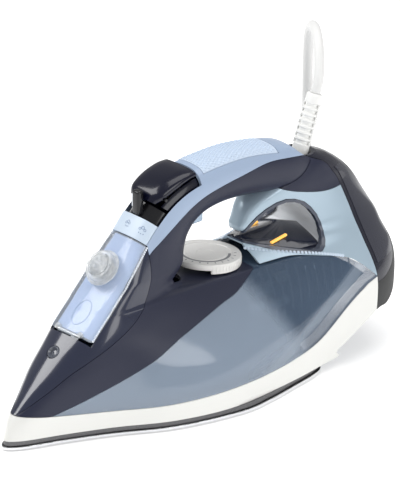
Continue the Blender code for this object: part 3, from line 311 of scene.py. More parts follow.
def place(bm, name, matrix=None):
    """An object of a bmesh, facing outwards. It is a cutter until done() makes it a piece."""
    if matrix is not None:
        bm.transform(matrix)
    bmesh.ops.recalc_face_normals(bm, faces=bm.faces)
    if bm.calc_volume(signed=True) < 0:
        bmesh.ops.reverse_faces(bm, faces=bm.faces)
    mesh = bpy.data.meshes.new(name)
    bm.to_mesh(mesh)
    bm.free()
    made = bpy.data.objects.new(name, mesh)
    HIDDEN.objects.link(made)
    return made


def combine(target, other, operation):
    modifier = target.modifiers.new(operation.title(), "BOOLEAN")
    modifier.operation, modifier.solver, modifier.object = operation, "EXACT", other
    graph = bpy.context.evaluated_depsgraph_get()
    result = bpy.data.meshes.new_from_object(target.evaluated_get(graph))
    target.modifiers.clear()
    target.data = result
    bpy.data.objects.remove(other)
    return target


def cut(target, *others):
    for other in others:
        combine(target, other, "DIFFERENCE")
    return target


def keep(target, *others):
    for other in others:
        combine(target, other, "INTERSECT")
    return target


def join(target, *others):
    for other in others:
        combine(target, other, "UNION")
    return target


def frame_matrix(centre, direction):
    return Matrix.Translation(centre) @ Vector(direction).to_track_quat("Z", "Y").to_matrix().to_4x4()


def rod(name, start, end, radius, sides=48):
    bm = bmesh.new()
    bmesh.ops.create_cone(bm, cap_ends=True, segments=sides, radius1=radius * MM, radius2=radius * MM,
                          depth=(end - start).length)
    return place(bm, name, frame_matrix((start + end) / 2, end - start))


def drill(centre, reach, radius, sides=48):
    """A round bar that reaches as far on one side of a point as on the other."""
    return rod("drill", centre - reach, centre + reach, radius, sides)


def block(name, centre, size, bevel=0.0, turn=None, segments=4):
    bm = bmesh.new()
    bmesh.ops.create_cube(bm, size=1.0, matrix=Matrix.Diagonal((*(v * MM for v in size), 1.0)))
    if bevel:
        bmesh.ops.bevel(bm, geom=list(bm.edges), offset=bevel * MM, segments=segments, affect="EDGES",
                        profile=0.5)
    return place(bm, name, Matrix.Translation(centre) @ (turn.to_4x4() if turn else Matrix.Identity(4)))


def loft(name, rings):
    """A closed body through rings of equal counts."""
    bm = bmesh.new()
    rows = [[bm.verts.new(p) for p in ring] for ring in rings]
    n = len(rows[0])
    for a, b in zip(rows, rows[1:]):
        for i in range(n):
            j = (i + 1) % n
            bm.faces.new((a[i], a[j], b[j], b[i]))
    bm.faces.new(rows[0][::-1])
    bm.faces.new(rows[-1])
    return place(bm, name)


def prism(name, outline, low=-90.0, high=90.0):
    """A side outline of (s, z) run across the iron."""
    return loft(name, [[at(low, s, z) for s, z in outline], [at(high, s, z) for s, z in outline]])


def turned(name, profile, matrix, sides=64):
    """A turned solid from (radius, height) points."""
    turns = [2 * math.pi * k / sides for k in range(sides)]
    return loft(name, [[matrix @ Vector((r * MM * math.cos(a), r * MM * math.sin(a), h * MM)) for a in turns]
                       for r, h in profile])


def wire(name, points, radius, sides=3):
    """A smooth curve object along points."""
    curve = bpy.data.curves.new(name, "CURVE")
    curve.dimensions = "3D"
    spline = curve.splines.new("POLY")
    spline.points.add(len(points) - 1)
    for knot, p in zip(spline.points, points):
        knot.co = (*p, 1.0)
    curve.bevel_depth, curve.bevel_resolution, curve.use_fill_caps = radius * MM, sides, True
    made = bpy.data.objects.new(name, curve)
    HIDDEN.objects.link(made)
    return made


def wire_mesh(name, points, radius, sides=3):
    made = wire(name, points, radius, sides)
    mesh = bpy.data.meshes.new_from_object(made.evaluated_get(bpy.context.evaluated_depsgraph_get()))
    bpy.data.objects.remove(made)
    bm = bmesh.new()
    bm.from_mesh(mesh)
    bmesh.ops.remove_doubles(bm, verts=bm.verts, dist=1e-6)
    return place(bm, name)


def merged(name, pieces):
    """Several separate solids as one object."""
    bm = bmesh.new()
    for piece in pieces:
        bm.from_mesh(piece.data)
        bpy.data.objects.remove(piece)
    mesh = bpy.data.meshes.new(name)
    bm.to_mesh(mesh)
    bm.free()
    made = bpy.data.objects.new(name, mesh)
    HIDDEN.objects.link(made)
    return made


SHARP_FROM, BEVEL_FROM = math.radians(30), math.radians(38)      # angles between faces


def done(piece, name, finish, body="iron", nodes=None, slot=None, bevel=0.0):
    """Makes a form a shown piece that rides on a body. With a slot it stands for CAD nodes: the one of its own name,
    unless others are given."""
    HIDDEN.objects.unlink(piece)
    bpy.context.scene.collection.objects.link(piece)
    piece.name = name
    piece.data.materials.clear()
    piece.data.materials.append(FINISHES[finish])
    if piece.type == "MESH":
        if bevel:
            edge = piece.modifiers.new("Bevel", "BEVEL")
            edge.width, edge.segments, edge.limit_method = bevel * MM, 2, "ANGLE"
            edge.angle_limit = BEVEL_FROM
        piece.data.shade_smooth()
        piece.data.set_sharp_from_angle(angle=SHARP_FROM)
    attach(piece, body)
    if slot:
        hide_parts(*(nodes or (name,)))
    return piece


# Half outlines (x, s) at rising heights: twelve feature points from the nose ridge round to the heel.
BODY_LEVELS = (
    (6.0, ((0, 1.5), (8.5, 11), (18, 36), (32, 69), (51, 106), (60.3, 150), (55, 204), (47.5, 245), (45, 282),
           (36, 305), (20, 314), (0, 316))),
    (20.0, ((0, 7), (9, 15), (18.5, 38), (32, 70), (50, 107), (59, 150), (55.5, 204), (49.5, 245), (46.5, 282),
            (38, 304), (22, 315), (0, 317))),
    (40.0, ((0, 26.5), (12, 31), (21, 45), (33, 79), (45.5, 109), (54, 150), (54, 204), (51, 245), (48.3, 283),
            (38, 307), (23, 317), (0, 319))),
    (55.0, ((0, 42), (14, 46.5), (23, 59), (31, 82), (38, 109), (44, 150), (47.5, 204), (48.7, 245), (47.5, 283),
            (36, 309), (22, 318.3), (0, 320))),
    (66.0, ((0, 54), (15, 57.5), (23.5, 69), (28, 86), (31, 109), (35.5, 150), (39.5, 204), (43, 245), (43, 279),
            (33, 308), (20, 317), (0, 318.5))),
    (78.0, ((0, 66.5), (15.5, 70), (22.5, 80), (24.5, 92), (25, 109), (25, 150), (27, 204), (33, 245), (35, 275),
            (27, 304), (16, 313.5), (0, 315.5))),
)
# The nose goes on up: the tongue that carries the dial, then the front pillar.
NOSE_LEVELS = (
    (79.0, ((0, 67.5), (15.5, 71), (22.5, 81), (24.4, 92.8), (24.6, 109), (24.2, 150), (25, 190), (18, 206),
            (12, 210), (7, 212), (3, 213), (0, 213))),
    (81.5, ((0, 70), (15.5, 73.2), (22.3, 83), (23.4, 94.5), (22.9, 110), (21.2, 125), (19.6, 135), (17, 141.5),
            (13.5, 145.5), (9, 148), (4.5, 149.2), (0, 149.5))),
    (96.0, ((0, 85.5), (15.5, 88.5), (21.5, 95.5), (22.5, 104), (21.5, 115), (20, 127), (18.5, 135), (16.5, 141),
            (13, 144.8), (9, 147), (4.5, 148), (0, 148.3))),
)
# Leaning sections of the handle: (front or top point, back or bottom point, half breadth).
HANDLE_STATIONS = (
    ((104.5, 121), (149, 106), 20.2),
    ((113, 131), (151.5, 111.5), 19.4),
    ((125, 142), (157, 117.5), 18.7),
    ((140, 150), (165, 121.5), 18.3),
    ((158, 154.6), (175, 123.5), 18.0),
    ((178, 156), (188, 124), 18.0),
    ((200, 155.6), (204, 122.5), 18.0),
    ((224, 151.8), (222, 119.5), 17.7),
    ((241, 147.5), (240, 116), 17.0),
    ((256, 139.6), (256, 114), 14.5),
)
# The rear body goes on up from the saddle into the column behind the hand opening.
REAR_LEVELS = (
    (87.0, ((0, 190), (2.5, 190.3), (5, 191), (7, 192.5), (8.5, 195), (10, 201), (17, 228), (23, 250), (27.5, 280),
            (21, 304), (12, 311.5), (0, 313.3))),
    (100.0, ((0, 200), (2.2, 200.2), (4.5, 200.8), (6.4, 202), (7.8, 204), (9, 208), (15.5, 231), (20.5, 254),
             (22.5, 277), (18, 294), (11, 303.5), (0, 307.2))),
    (113.0, ((0, 208), (2.6, 208.2), (5.2, 208.9), (7.6, 210), (9.8, 212), (12, 217), (16.5, 234), (18.8, 254),
             (18.8, 270), (15, 286), (9, 296), (0, 298.6))),
    (122.0, ((0, 222), (3, 222.3), (6, 223), (9, 224.5), (12, 227), (15, 232), (17.3, 243), (18, 256), (17, 268),
             (13.3, 280), (7.5, 288), (0, 290.2))),
    (131.0, ((0, 238), (3, 238.2), (6, 238.8), (9, 240), (12, 242.5), (14, 246), (15.3, 252), (15.5, 259),
             (14, 266), (11, 272), (6.5, 276.6), (0, 278.2))),
    (136.0, ((0, 246), (2.4, 246.2), (4.8, 246.8), (7, 247.8), (8.8, 249.5), (10.2, 252), (11, 255), (11, 258.5),
             (10, 261.8), (8, 264.5), (4.6, 266.4), (0, 267))),
)


SKIRT_LINE = smooth(((-20, 23), (8, 22), (30, 19.6), (60, 17.8), (95, 17), (150, 18.7), (180, 19.3), (204, 21),
                     (231, 26.6), (257, 42.6), (270, 49.5), (284, 53.6), (340, 60)))
UNDER_LINE = smooth(((-20, 5), (226, 5), (250, 12), (282, 29), (296, 30), (306, 34), (314, 40), (340, 60)))
NAVY_LINE = smooth(((0, 12), (30, 20), (60, 31), (81, 39.3), (111, 53), (128, 59), (157, 67), (175, 71),
                    (197, 79.5), (205, 84), (215, 92)))
SEAM_LINE = smooth(((-10, 10), (10, 22.5), (26, 34), (41, 45), (54, 52), (74, 62.5), (93, 73), (103, 82),
                    (109, 96), (110, 111), (110, 125)))
COVER_LINE = smooth(((90, 92), (109, 110), (136, 127), (155, 136), (173, 140), (192, 142.5), (215, 144.5),
                     (235, 142), (252, 138), (275, 131)))
TANK_LINE = smooth(((150, 79.4), (185, 79.4), (210, 79.6), (228, 79.2), (247, 75.5), (261, 72), (269, 68),
                    (276, 62), (284, 54), (292, 44)))
SCOOP_LINE = smooth(((200, 141), (218, 127.5), (231, 120.6), (245.5, 115.7), (261, 112.1), (277, 111.2),
                     (300, 112)))
HEEL_LINE = smooth(((236, 160), (241, 149), (252, 138), (267, 130), (273.6, 121.4), (278, 112.9), (283, 89.4),
                    (283.6, 74), (284.4, 54), (284, 25), (283, 0)))
BUMPER_LINE = smooth(((262, 150), (280, 131), (293, 117), (303, 102), (310, 86), (311.5, 66), (307, 56),
                      (296, 51), (286, 49.6), (275, 49)))
FAR = 400.0                # past every form
WINDOW = smooth(((199, 91.5), (206, 100.5), (218, 110), (232, 114), (246, 109), (255, 98), (257.5, 87),
                 (252, 79.5), (243, 77.5), (222, 82), (205, 88)), 2, closed=True)
SOLE = ((0, 0), (9.5, 11), (19, 36.5), (33, 69), (52, 106), (62.5, 152), (60.8, 179), (55.5, 205), (50, 228),
        (42, 239), (24, 243.5), (0, 244.5))
TRIGGER_STATIONS = (
    ((119.5, 143.0), (124.2, 139.6), 11.5),
    ((123.0, 148.6), (129.0, 141.6), 14.6),
    ((133.0, 154.0), (138.0, 145.4), 15.8),
    ((145.0, 156.9), (148.0, 149.4), 15.9),
    ((153.0, 157.0), (155.4, 151.0), 15.4),
)
COIL_AT = Vector((-112, 80, 0)) * MM
COIL_RADIUS, COIL_WIDTH, CORD = 42.5, 21.4, 7.0
COIL_ENTRY = COIL_RADIUS + COIL_WIDTH / 2 + CORD / 2 + GAP
PLUG_LENGTH, PLUG_WIDTH, PLUG_HEIGHT = 40, 25, 18
PLUG_AT = COIL_AT + Vector((26, 4, 25.05)) * MM
CORD_ROUTE = [Vector(p) * MM for p in (
    (-2.6, 118.0, 186.5), (-9.5, 124.0, 197.5), (-19.5, 131.0, 203.5), (-30.5, 138.0, 203.0), (-40.5, 144.5, 195.5),
    (-47.0, 149.0, 182.0), (-50.5, 151.5, 162.0), (-52.5, 153.0, 135.0), (-54.5, 154.0, 105.0), (-57.0, 154.5, 75.0),
    (-60.5, 154.5, 47.0), (-66.5, 153.0, 24.0), (-76.0, 149.0, 9.5), (-88.5, 143.5, 5.2), (-100.0, 139.6, 5.0))]
CORD_ROUTE.append(COIL_AT + Vector((0, COIL_ENTRY * MM, 5.0 * MM)))
BODY_TOP = 79.0            # the lower body closes here, under the handle
DIAL_FOOT, DIAL_TILT = at(0, 176.0, 85.4), math.radians(4)
HINGE_BORE = 1.35
TAB_AT = at(0, 165.5, 119)
RELIEF_AT, RELIEF_TILT, RELIEF_LENGTH = at(0, 259.5, 137.5), math.radians(20), 37.0
RELIEF_AXIS = Vector((0, math.sin(RELIEF_TILT), math.cos(RELIEF_TILT)))


def level_rings(levels, inset, steps, between):
    """Rings at every height of a form, moved in by inset."""
    flat = [(z, whole_ring(half, inset, steps)) for z, half in levels]
    rings = []
    for i in range(len(flat) - 1):
        (z, here), (top, there) = flat[i], flat[i + 1]
        under, over = flat[max(i - 1, 0)], flat[min(i + 2, len(flat) - 1)]
        rise = top - z
        for k in range(between):
            t = k / between
            ring = []
            for p, q, r, w in zip(under[1], here, there, over[1]):
                leave, arrive = (r - p) * rise / (top - under[0]), (w - q) * rise / (over[0] - z)
                ring.append(at(*(q * (1 - 3 * t * t + 2 * t ** 3) + r * (3 * t * t - 2 * t ** 3)
                                 + leave * (t - 2 * t * t + t ** 3) + arrive * (t ** 3 - t * t)), z + rise * t))
            rings.append(ring)
    z, last = flat[-1]
    rings.append([at(p.x, p.y, z) for p in last])
    return rings


def section_ring(front, back, half, inset=0.0, steps=FINE):
    """A rounded section between a front or top point and a back or bottom point, both (s, z)."""
    front, back = Vector(front), Vector(back)
    run = (back - front).normalized() * inset
    front, back = front + run, back - run
    outline = [((half - inset) * math.sin(math.pi * k / 11) ** 0.62, (1 - math.cos(math.pi * k / 11)) / 2)
               for k in range(12)]
    return [at(p.x, *(front + (back - front) * p.y)) for p in whole_ring(outline, 0.0, steps)]


def smooth_rings(rings, between=RINGS):
    found = []
    for i in range(len(rings) - 1):
        a, b = rings[max(i - 1, 0)], rings[i]
        c, d = rings[i + 1], rings[min(i + 2, len(rings) - 1)]
        for k in range(between):
            found.append([catmull(p, q, r, w, k / between) for p, q, r, w in zip(a, b, c, d)])
    found.append(rings[-1])
    return found


def detail(name):
    """Samples and rings: forms that only hollow out a shell take few."""
    return (2, 1) if name in ("inside", "hollow") else (FINE, RINGS)


def body_form(name, inset=0.0):
    steps, between = detail(name)
    rings = level_rings(BODY_LEVELS, inset, steps, between)
    top = whole_ring(BODY_LEVELS[-1][1], inset + 6, steps)
    rings.append([at(p.x, p.y, BODY_TOP - inset) for p in top])
    return loft(name, rings)


def arch_form(name, inset=0.0):
    steps, between = detail(name)
    rings = level_rings(BODY_LEVELS[1:] + NOSE_LEVELS, inset, steps, between)
    rings += smooth_rings([section_ring(f, b, w, inset, steps) for f, b, w in HANDLE_STATIONS], between)
    return loft(name, rings)


def rear_form(name, inset=0.0):
    return loft(name, level_rings(BODY_LEVELS[1:] + REAR_LEVELS, inset, *detail(name)))


def shifted(line, gap):
    """The side curve moved to its left by the gap."""
    moved = []
    for i, p in enumerate(line):
        run = (line[min(i + 1, len(line) - 1)] - line[max(i - 1, 0)]).normalized()
        moved.append(p + Vector((-run.y, run.x)) * gap)
    return moved


def side_of(line, corners, gap):
    return prism("side", [tuple(p) for p in shifted(line, gap / 2)] + list(corners))


def above(line, gap=GAP):
    return side_of(line, ((FAR, line[-1].y), (FAR, FAR), (-FAR, FAR), (-FAR, line[0].y)), gap)


def below(line, gap=GAP):
    return side_of(line, ((FAR, line[-1].y), (FAR, -FAR), (-FAR, -FAR), (-FAR, line[0].y)), -gap)


def in_front_of(line, gap=GAP):
    """The side in front of a line that runs down."""
    return side_of(line, ((line[-1].x, -FAR), (-FAR, -FAR), (-FAR, FAR), (line[0].x, FAR)), -gap)


def behind(line, gap=GAP):
    return side_of(line, ((line[-1].x, -FAR), (FAR, -FAR), (FAR, FAR), (line[0].x, FAR)), gap)


def behind_seam():
    return side_of(SEAM_LINE, ((110, FAR), (FAR, FAR), (FAR, -FAR), (-10, -FAR)), -GAP)


def under_navy(gap=GAP):
    return side_of(NAVY_LINE, ((215, FAR), (-FAR, FAR), (-FAR, 12)), -gap)


DOOR_LOW, DOOR_HIGH, BAND_HIGH, HUB_HIGH = (54.0, 66.5), (105.0, 121.5), (114.5, 132.5), (122.5, 139.6)
SLOPE = (at(0, *DOOR_HIGH) - at(0, *DOOR_LOW)).normalized()
OUT = Vector((0, -SLOPE.z, SLOPE.y))
SLOPE_TURN = Matrix((Vector((1, 0, 0)), SLOPE, OUT)).transposed()
DOOR_LENGTH = (at(0, *DOOR_HIGH) - at(0, *DOOR_LOW)).length / MM
BAND_LENGTH = (at(0, *BAND_HIGH) - at(0, *DOOR_LOW)).length / MM
HUB_LENGTH = (at(0, *HUB_HIGH) - at(0, *DOOR_LOW)).length / MM
DOOR_HALF = 20.0
FILLER_ALONG = 49.0        # the filling hole, up the nose from the door's foot


def on_slope(x, along, out):
    """A point by its distance up the nose from the door's foot and out of the surface, in millimetres."""
    return at(x, *DOOR_LOW) + SLOPE * along * MM + OUT * out * MM


def slope_slab(name, low, high, half, depth, bevel=0.0, lift=30.0):
    """A slab along the nose, from a depth under its slope to a height over it."""
    centre = on_slope(0, (low + high) / 2, (lift - depth) / 2)
    return block(name, centre, (2 * half, high - low, lift + depth), bevel, SLOPE_TURN)


def door_room(high):
    """The room for the filling door, up to a place on the nose."""
    return slope_slab("door_room", -0.5, high, DOOR_HALF + 0.4, 8.0)


def window_prism(grow=0.0):
    centre = sum(WINDOW, Vector((0, 0))) / len(WINDOW)
    return prism("window", [tuple(p + (p - centre).normalized() * grow) for p in WINDOW])


def tree_of(form):
    return BVHTree.FromPolygons([v.co for v in form.data.vertices], [p.vertices for p in form.data.polygons])


class Skin:
    """The outer face of a form, to set small details on."""

    def __init__(self, form):
        self.tree = tree_of(form)
        bpy.data.objects.remove(form)

    def hit(self, origin, direction):
        spot, normal, _, _ = self.tree.ray_cast(Vector(origin), Vector(direction))
        return (spot, normal) if spot else (None, None)


def bead(spot, normal, radius, height, sides=10):
    """A low rounded pip standing on a face."""
    matrix = frame_matrix(spot, normal)
    return turned("bead", [(radius, -0.3 * height), (radius * 0.92, height * 0.45), (radius * 0.6, height * 0.85),
                           (radius * 0.2, height)], matrix, sides)


# ---------------------------------------------------------------- camera, light and floor

GLOW = 0.42                # light from the world and from the floor


def studio():
    scene = bpy.context.scene
    scene.view_settings.view_transform = "Standard"
    eye = bpy.data.cameras.new("camera")
    eye.sensor_width = 36.0
    distance, field = 12.0, 0.3247
    eye.lens = eye.sensor_width * distance / field
    eye.clip_end = 100.0
    camera = bpy.data.objects.new("camera", eye)
    turn, rise = math.radians(48), math.radians(24)
    back = Vector((math.sin(turn) * math.cos(rise), -math.cos(turn) * math.cos(rise), math.sin(rise)))
    camera.location = Vector((0, 0.0113, 0.0904)) + back * distance
    camera.rotation_mode = "QUATERNION"
    camera.rotation_quaternion = (-back).to_track_quat("-Z", "Y")
    scene.collection.objects.link(camera)
    scene.camera = camera

    world = bpy.data.worlds.new("studio")
    scene.world = world
    world.use_nodes = True
    background = world.node_tree.nodes["Background"].inputs
    background["Color"].default_value = (1, 1, 1, 1)
    background["Strength"].default_value = GLOW

    def softbox(name, spot, target, size, energy):
        lamp = bpy.data.lights.new(name, "AREA")
        lamp.shape, lamp.size, lamp.size_y, lamp.energy = "RECTANGLE", size, size, energy
        made = bpy.data.objects.new(name, lamp)
        made.location = spot
        made.rotation_mode = "QUATERNION"
        made.rotation_quaternion = (Vector(target) - Vector(spot)).to_track_quat("-Z", "Y")
        scene.collection.objects.link(made)

    softbox("key_light", (-0.75, -0.75, 1.35), (0, 0, 0.05), 0.9, 15.0)
    softbox("side_light", (1.5, 0.15, 0.85), (0, 0.05, 0.06), 0.9, 8.0)
    softbox("top_light", (0.1, 0.5, 1.7), (0, 0, 0.05), 1.1, 10.0)

    bm = bmesh.new()
    bmesh.ops.create_grid(bm, x_segments=4, y_segments=4, size=40.0)
    mesh = bpy.data.meshes.new("floor")
    bm.to_mesh(mesh)
    bm.free()
    floor = bpy.data.objects.new("floor", mesh)
    floor.location = (0, 0, -0.0006)
    scene.collection.objects.link(floor)
    paint = Paint("studio_floor", (0.93, 0.93, 0.93), 0.7)
    paint.shader.inputs["Emission Color"].default_value = (1, 1, 1, 1)
    paint.shader.inputs["Emission Strength"].default_value = GLOW
    paint.set(base_color=paint.mix(paint.noise(1.5, 1.0), (0.92, 0.92, 0.92), (0.94, 0.94, 0.94)))
    mesh.materials.append(paint.made)


# ---------------------------------------------------------------- lower parts

def sole_ring(inset, z):
    return [at(p.x, p.y, 0) + Vector((0, 0, z * MM)) for p in whole_ring(SOLE, inset)]


def sole():
    plate = loft("sole", [sole_ring(0.9, 0), sole_ring(0.25, 0.3), sole_ring(0, 0.9),
                          sole_ring(0, 1.9), sole_ring(0.15, 2.25), sole_ring(0.5, 2.4),
                          sole_ring(1.6, 2.5), sole_ring(1.6, 6.0)])
    rows = ((30, 9), (48, 16), (66, 23), (84, 31), (102, 39), (120, 45), (140, 48))
    for x, s in [(0, 17)] + [(x * side, s) for s, x in rows for side in (-1, 1)]:
        cut(plate, turned("hole", ((2.3, -1), (2.3, 0), (1.5, 0.9), (1.5, 8)), Matrix.Translation(at(x, s, 0)),
                          20))
    done(plate, "sole", "sole", nodes=("soleplate",), slot="dark_sole")
    plate.data.materials.append(FINISHES["sole_edge"])
    for face in plate.data.polygons:
        if 0.2 * MM < face.center.z < 2.45 * MM and abs(face.normal.z) < 0.95:
            face.material_index = 1


def skirt():
    form = body_form("skirt")
    keep(form, below(SKIRT_LINE), above(UNDER_LINE), in_front_of(HEEL_LINE))
    cut(form, body_form("inside", WALL))
    done(form, "skirt", "skirt", slot="white_plastic", bevel=0.35)


def tank():
    form = body_form("tank")
    keep(form, above(SKIRT_LINE), below(TANK_LINE), in_front_of(HEEL_LINE))
    cut(form, under_navy(), body_form("hollow", WALL))
    done(form, "water_tank_wall", "tank", nodes=("water_tank",), slot="blue_tank", bevel=0.3)
    # What shows through the wall: a tinted core, upright ribs and the pale housings of the inner works.
    core = body_form("core", 8.0)
    keep(core, above(SKIRT_LINE, 4), below(TANK_LINE, 6), in_front_of(HEEL_LINE))
    cut(core, under_navy(5))
    done(core, "tank_core", "core", bevel=1.0)
    ribs, skin = [], Skin(body_form("skin", 3.4))
    for s in range(176, 262, 7):
        top = 77.0 - 0.06 * max(0, s - 200)
        spots = [skin.hit(at(90, s + 0.35 * (z - 50), z), (-1, 0, 0))[0]
                 for z in range(46 + (s - 176) // 6, int(top), 3)]
        spots = [spot for spot in spots if spot]
        if len(spots) > 2:
            for side in (-1, 1):
                ribs.append(wire_mesh("rib", [Vector((side * p.x, p.y, p.z)) for p in spots], 0.55, 1))
    for s, z, run, rise in ((196, 66, 16, 9), (214, 69, 12, 8), (186, 58, 12, 7), (205, 57, 14, 6)):
        spot, normal = skin.hit(at(90, s, z), (-1, 0, 0))
        if spot:
            for side in (-1, 1):
                turn = Vector((side * normal.x, normal.y, normal.z)).to_track_quat("X", "Z").to_matrix()
                ribs.append(block("works", Vector((side * (spot.x - 2.5 * MM), spot.y, spot.z)), (3, run, rise),
                                  1.2, turn))
    done(merged("tank_works", ribs), "tank_works", "rib")


# ---------------------------------------------------------------- nose and handle

def nose():
    form = arch_form("nose_cap")
    keep(form, above(SKIRT_LINE), side_of(SEAM_LINE, ((110, FAR), (-FAR, FAR), (-FAR, 10)), GAP))
    cut(form, arch_form("inside", WALL), door_room(BAND_LENGTH + 40))
    place_at = at(0, 43.0, 56.8)
    cut(form, drill(place_at, OUT * 0.01, 4.85))
    done(form, "nose_cap", "navy", slot="navy_gloss", bevel=0.35)
    matrix = frame_matrix(place_at, OUT)
    body = turned("nozzle", ((4.5, -9), (4.5, -1.2), (4.1, -0.5), (3.6, -0.3),
                             (3.3, -0.9), (2.4, -2.4), (2.0, -2.0), (0.5, -1.8)),
                  matrix)
    cut(body, rod("jet", matrix @ Vector((0, 0, -0.004)), matrix @ Vector((0, 0, 0.004)), 0.5, sides=16))
    done(body, "spray_nozzle", "nozzle", slot="nozzle_grey")


def housing():
    form = arch_form("housing")
    keep(form, side_of(NAVY_LINE, ((300, 97), (300, FAR), (-FAR, FAR), (-FAR, 12)), GAP), behind_seam(),
         below(COVER_LINE), in_front_of(HEEL_LINE),
         above(smooth(((-20, -20), (120, -10), (150, 0), (190, 60), (205, 84)))), above(SKIRT_LINE))
    inside = arch_form("inside", WALL)
    for corner in inside.data.vertices:
        if corner.co.z < 90 * MM:
            corner.co.z -= WALL * MM
    cut(form, inside)
    tilt = Vector((0, math.sin(DIAL_TILT), math.cos(DIAL_TILT)))
    cut(form, drill(DIAL_FOOT, tilt * 0.03, 3.35),
        door_room(DOOR_LENGTH + 0.5),
        block("tab_slot", TAB_AT, (9.7, 10.7, 30)))
    done(form, "housing", "navy_side", slot="navy_satin", bevel=0.35)
    marker = block("dial_marker", at(0, 203.5, 80.6), (4.2, 3.2, 1.6), 0.6)
    done(marker, "dial_marker", "gloss_black")
    tab = block("steam_tab", TAB_AT, (9, 10, 13), 1.8)
    done(tab, "steam_tab", "tab", "steam_tab", slot="tab_blue")


def strip(low, high, half, depth):
    """The pad's room along the top of the grip, down to a depth under its face."""
    room = prism("strip", ((low, 140), (low, 170), (high, 170), (high, 140)), -half, half)
    return cut(room, arch_form("under", depth))


def handle():
    form = arch_form("handle_cover")
    keep(form, above(COVER_LINE), behind_seam(), in_front_of(HEEL_LINE))
    cut(form, arch_form("inside", WALL),
        prism("controls_room", ((90, 80), (128, 112), (142, 132), (158, 143.5), (158, 180), (60, 180)),
              -16.6, 16.6),
        door_room(DOOR_LENGTH + 0.15))
    cut(form, strip(162, 228, 13.6, 1.5))
    done(form, "handle_cover", "cover", slot="light_blue", bevel=0.35)
    pad = keep(arch_form("pad"), strip(162.5, 227.5, 13.25, 1.15))
    done(pad, "grip_pad", "grip", slot="grip_blue", bevel=0.25)
    skin = Skin(arch_form("skin"))
    pips, row, s = [], 0, 164.2
    while s < 226.4:
        for k in range(-5, 6):
            x = k * 2.4 + (1.2 if row % 2 else 0)
            if abs(x) < 12.6:
                spot, normal = skin.hit(at(x, s, 175), (0, 0, -1))
                if spot:
                    pips.append(bead(spot, normal, 0.85, 0.55, 8))
        s, row = s + 2.1, row + 1
    done(merged("grip_pips", pips), "grip_pips", "grip")


def trigger():
    pad = loft("trigger", smooth_rings([section_ring(f, b, w) for f, b, w in TRIGGER_STATIONS]))
    hinge = at(0, 127.5, 143.6)
    cut(pad, drill(hinge, Vector((0.02, 0, 0)), HINGE_BORE, 24))
    for side in (-1, 1):
        cheek = keep(arch_form("cheek", 2.7),
                     prism("run", ((125.5, 139.5), (135.2, 130.4), (152, 141), (157.4, 143.2), (157.4, 150),
                                   (127, 144.5)), *sorted((side * 11, side * 40))))
        done(cheek, "trigger_cheek_" + ("left" if side < 0 else "right"), "trigger", "trigger", bevel=0.3)
    done(pad, "trigger", "trigger", "trigger", slot="navy_gloss", bevel=0.8)


# ---------------------------------------------------------------- filling door and controls

def filling_door():
    hinge = on_slope(0, 1.9, -1.9)
    door = arch_form("door")
    cut(door, arch_form("under", 2.0))
    keep(door, slope_slab("frame", 1.9, DOOR_LENGTH - 0.3, DOOR_HALF, 8.0, 2.5))
    ends = Vector((8 * MM, 0, 0))
    join(door, drill(hinge, ends, 1.9, 24))
    cut(door, drill(hinge, 2 * ends, HINGE_BORE, 24))
    done(door, "filling_door", "clear", "fill_door", ("fill_door",), "clear_door", 0.3)

    matrix = frame_matrix(on_slope(0, FILLER_ALONG, 0), OUT)
    r = 10.8
    cap = turned("cap", ((r + 1.7, 0.35), (r + 1.7, 1.2), (r + 1.0, 1.7),
                         (r, 2.1), (r, 4.7), (r - 0.4, 5.5), (r - 1.2, 6.0),
                         (r - 2.6, 6.0), (r - 3.0, 5.5), (r - 3.4, 5.5),
                         (r - 3.9, 5.9), (3.0, 6.0)), matrix, 96)
    done(cap, "cap", "cap", "fill_door", ("fill_cap",), "clear_door")
    inner = []
    for k in range(12):
        a = math.pi * k / 6
        out = Vector((math.cos(a), math.sin(a), 0))
        inner.append(block("vane", matrix @ (out * 6.2 * MM + Vector((0, 0, 3.4 * MM))), (4.6, 0.7, 3.6), 0,
                           matrix.to_3x3() @ Matrix.Rotation(a, 3, "Z")))
    inner.append(turned("hub", ((2.6, 1.2), (2.6, 4.6), (2.0, 5.0)), matrix, 24))
    done(merged("cap_vanes", inner), "cap_vanes", "cap_inner", "fill_door")

    filler = arch_form("filler", 2.6)
    keep(filler, slope_slab("frame", 3.4, DOOR_LENGTH - 0.8, DOOR_HALF - 1.0, 9.0, 1.5))
    cut(filler, arch_form("under", 4.4))
    cut(filler, drill(on_slope(0, FILLER_ALONG, 0), OUT * 0.02, 6.35))
    skin = Skin(arch_form("skin", 2.6))
    done(filler, "filler_tray", "filler", nodes=("fill_panel",), slot="filler_blue", bevel=0.4)
    ring = []
    for k in range(28):
        a = 2 * math.pi * k / 28
        ring.append(skin.hit(on_slope(6.4 * math.cos(a), 17.5 + 9.0 * math.sin(a), 30), -OUT)[0])
    done(wire_mesh("finger_mark", ring + [ring[0]], 0.45, 2), "finger_mark", "filler_dark")

    skin = Skin(arch_form("skin"))
    facets = []
    for side in (-1, 1):
        along = 3.5
        while along < DOOR_LENGTH - 1:
            spot, normal = skin.hit(on_slope(side * (DOOR_HALF - 0.5), along, 30), -OUT)
            if spot is None or (spot - at(0, *DOOR_LOW)).dot(OUT) < -7.6 * MM:
                spot, normal = skin.hit(on_slope(side * 60, along, -7.5), (-side, 0, 0))
            if spot:
                facets.append(bead(spot, normal, 0.7, 0.4, 6))
            along += 1.5
    done(merged("door_edge_facets", facets), "door_edge_facets", "chromed", "fill_door")
    pivots = [turned("pivot", ((2.0, -1.5), (2.0, 0.6), (1.4, 1.1), (0.6, 1.1)),
                     frame_matrix(on_slope(side * 10.5, 3.2, -1.6), OUT), 24) for side in (-1, 1)]
    done(merged("door_pivots", pivots), "door_pivots", "cap", "fill_door")


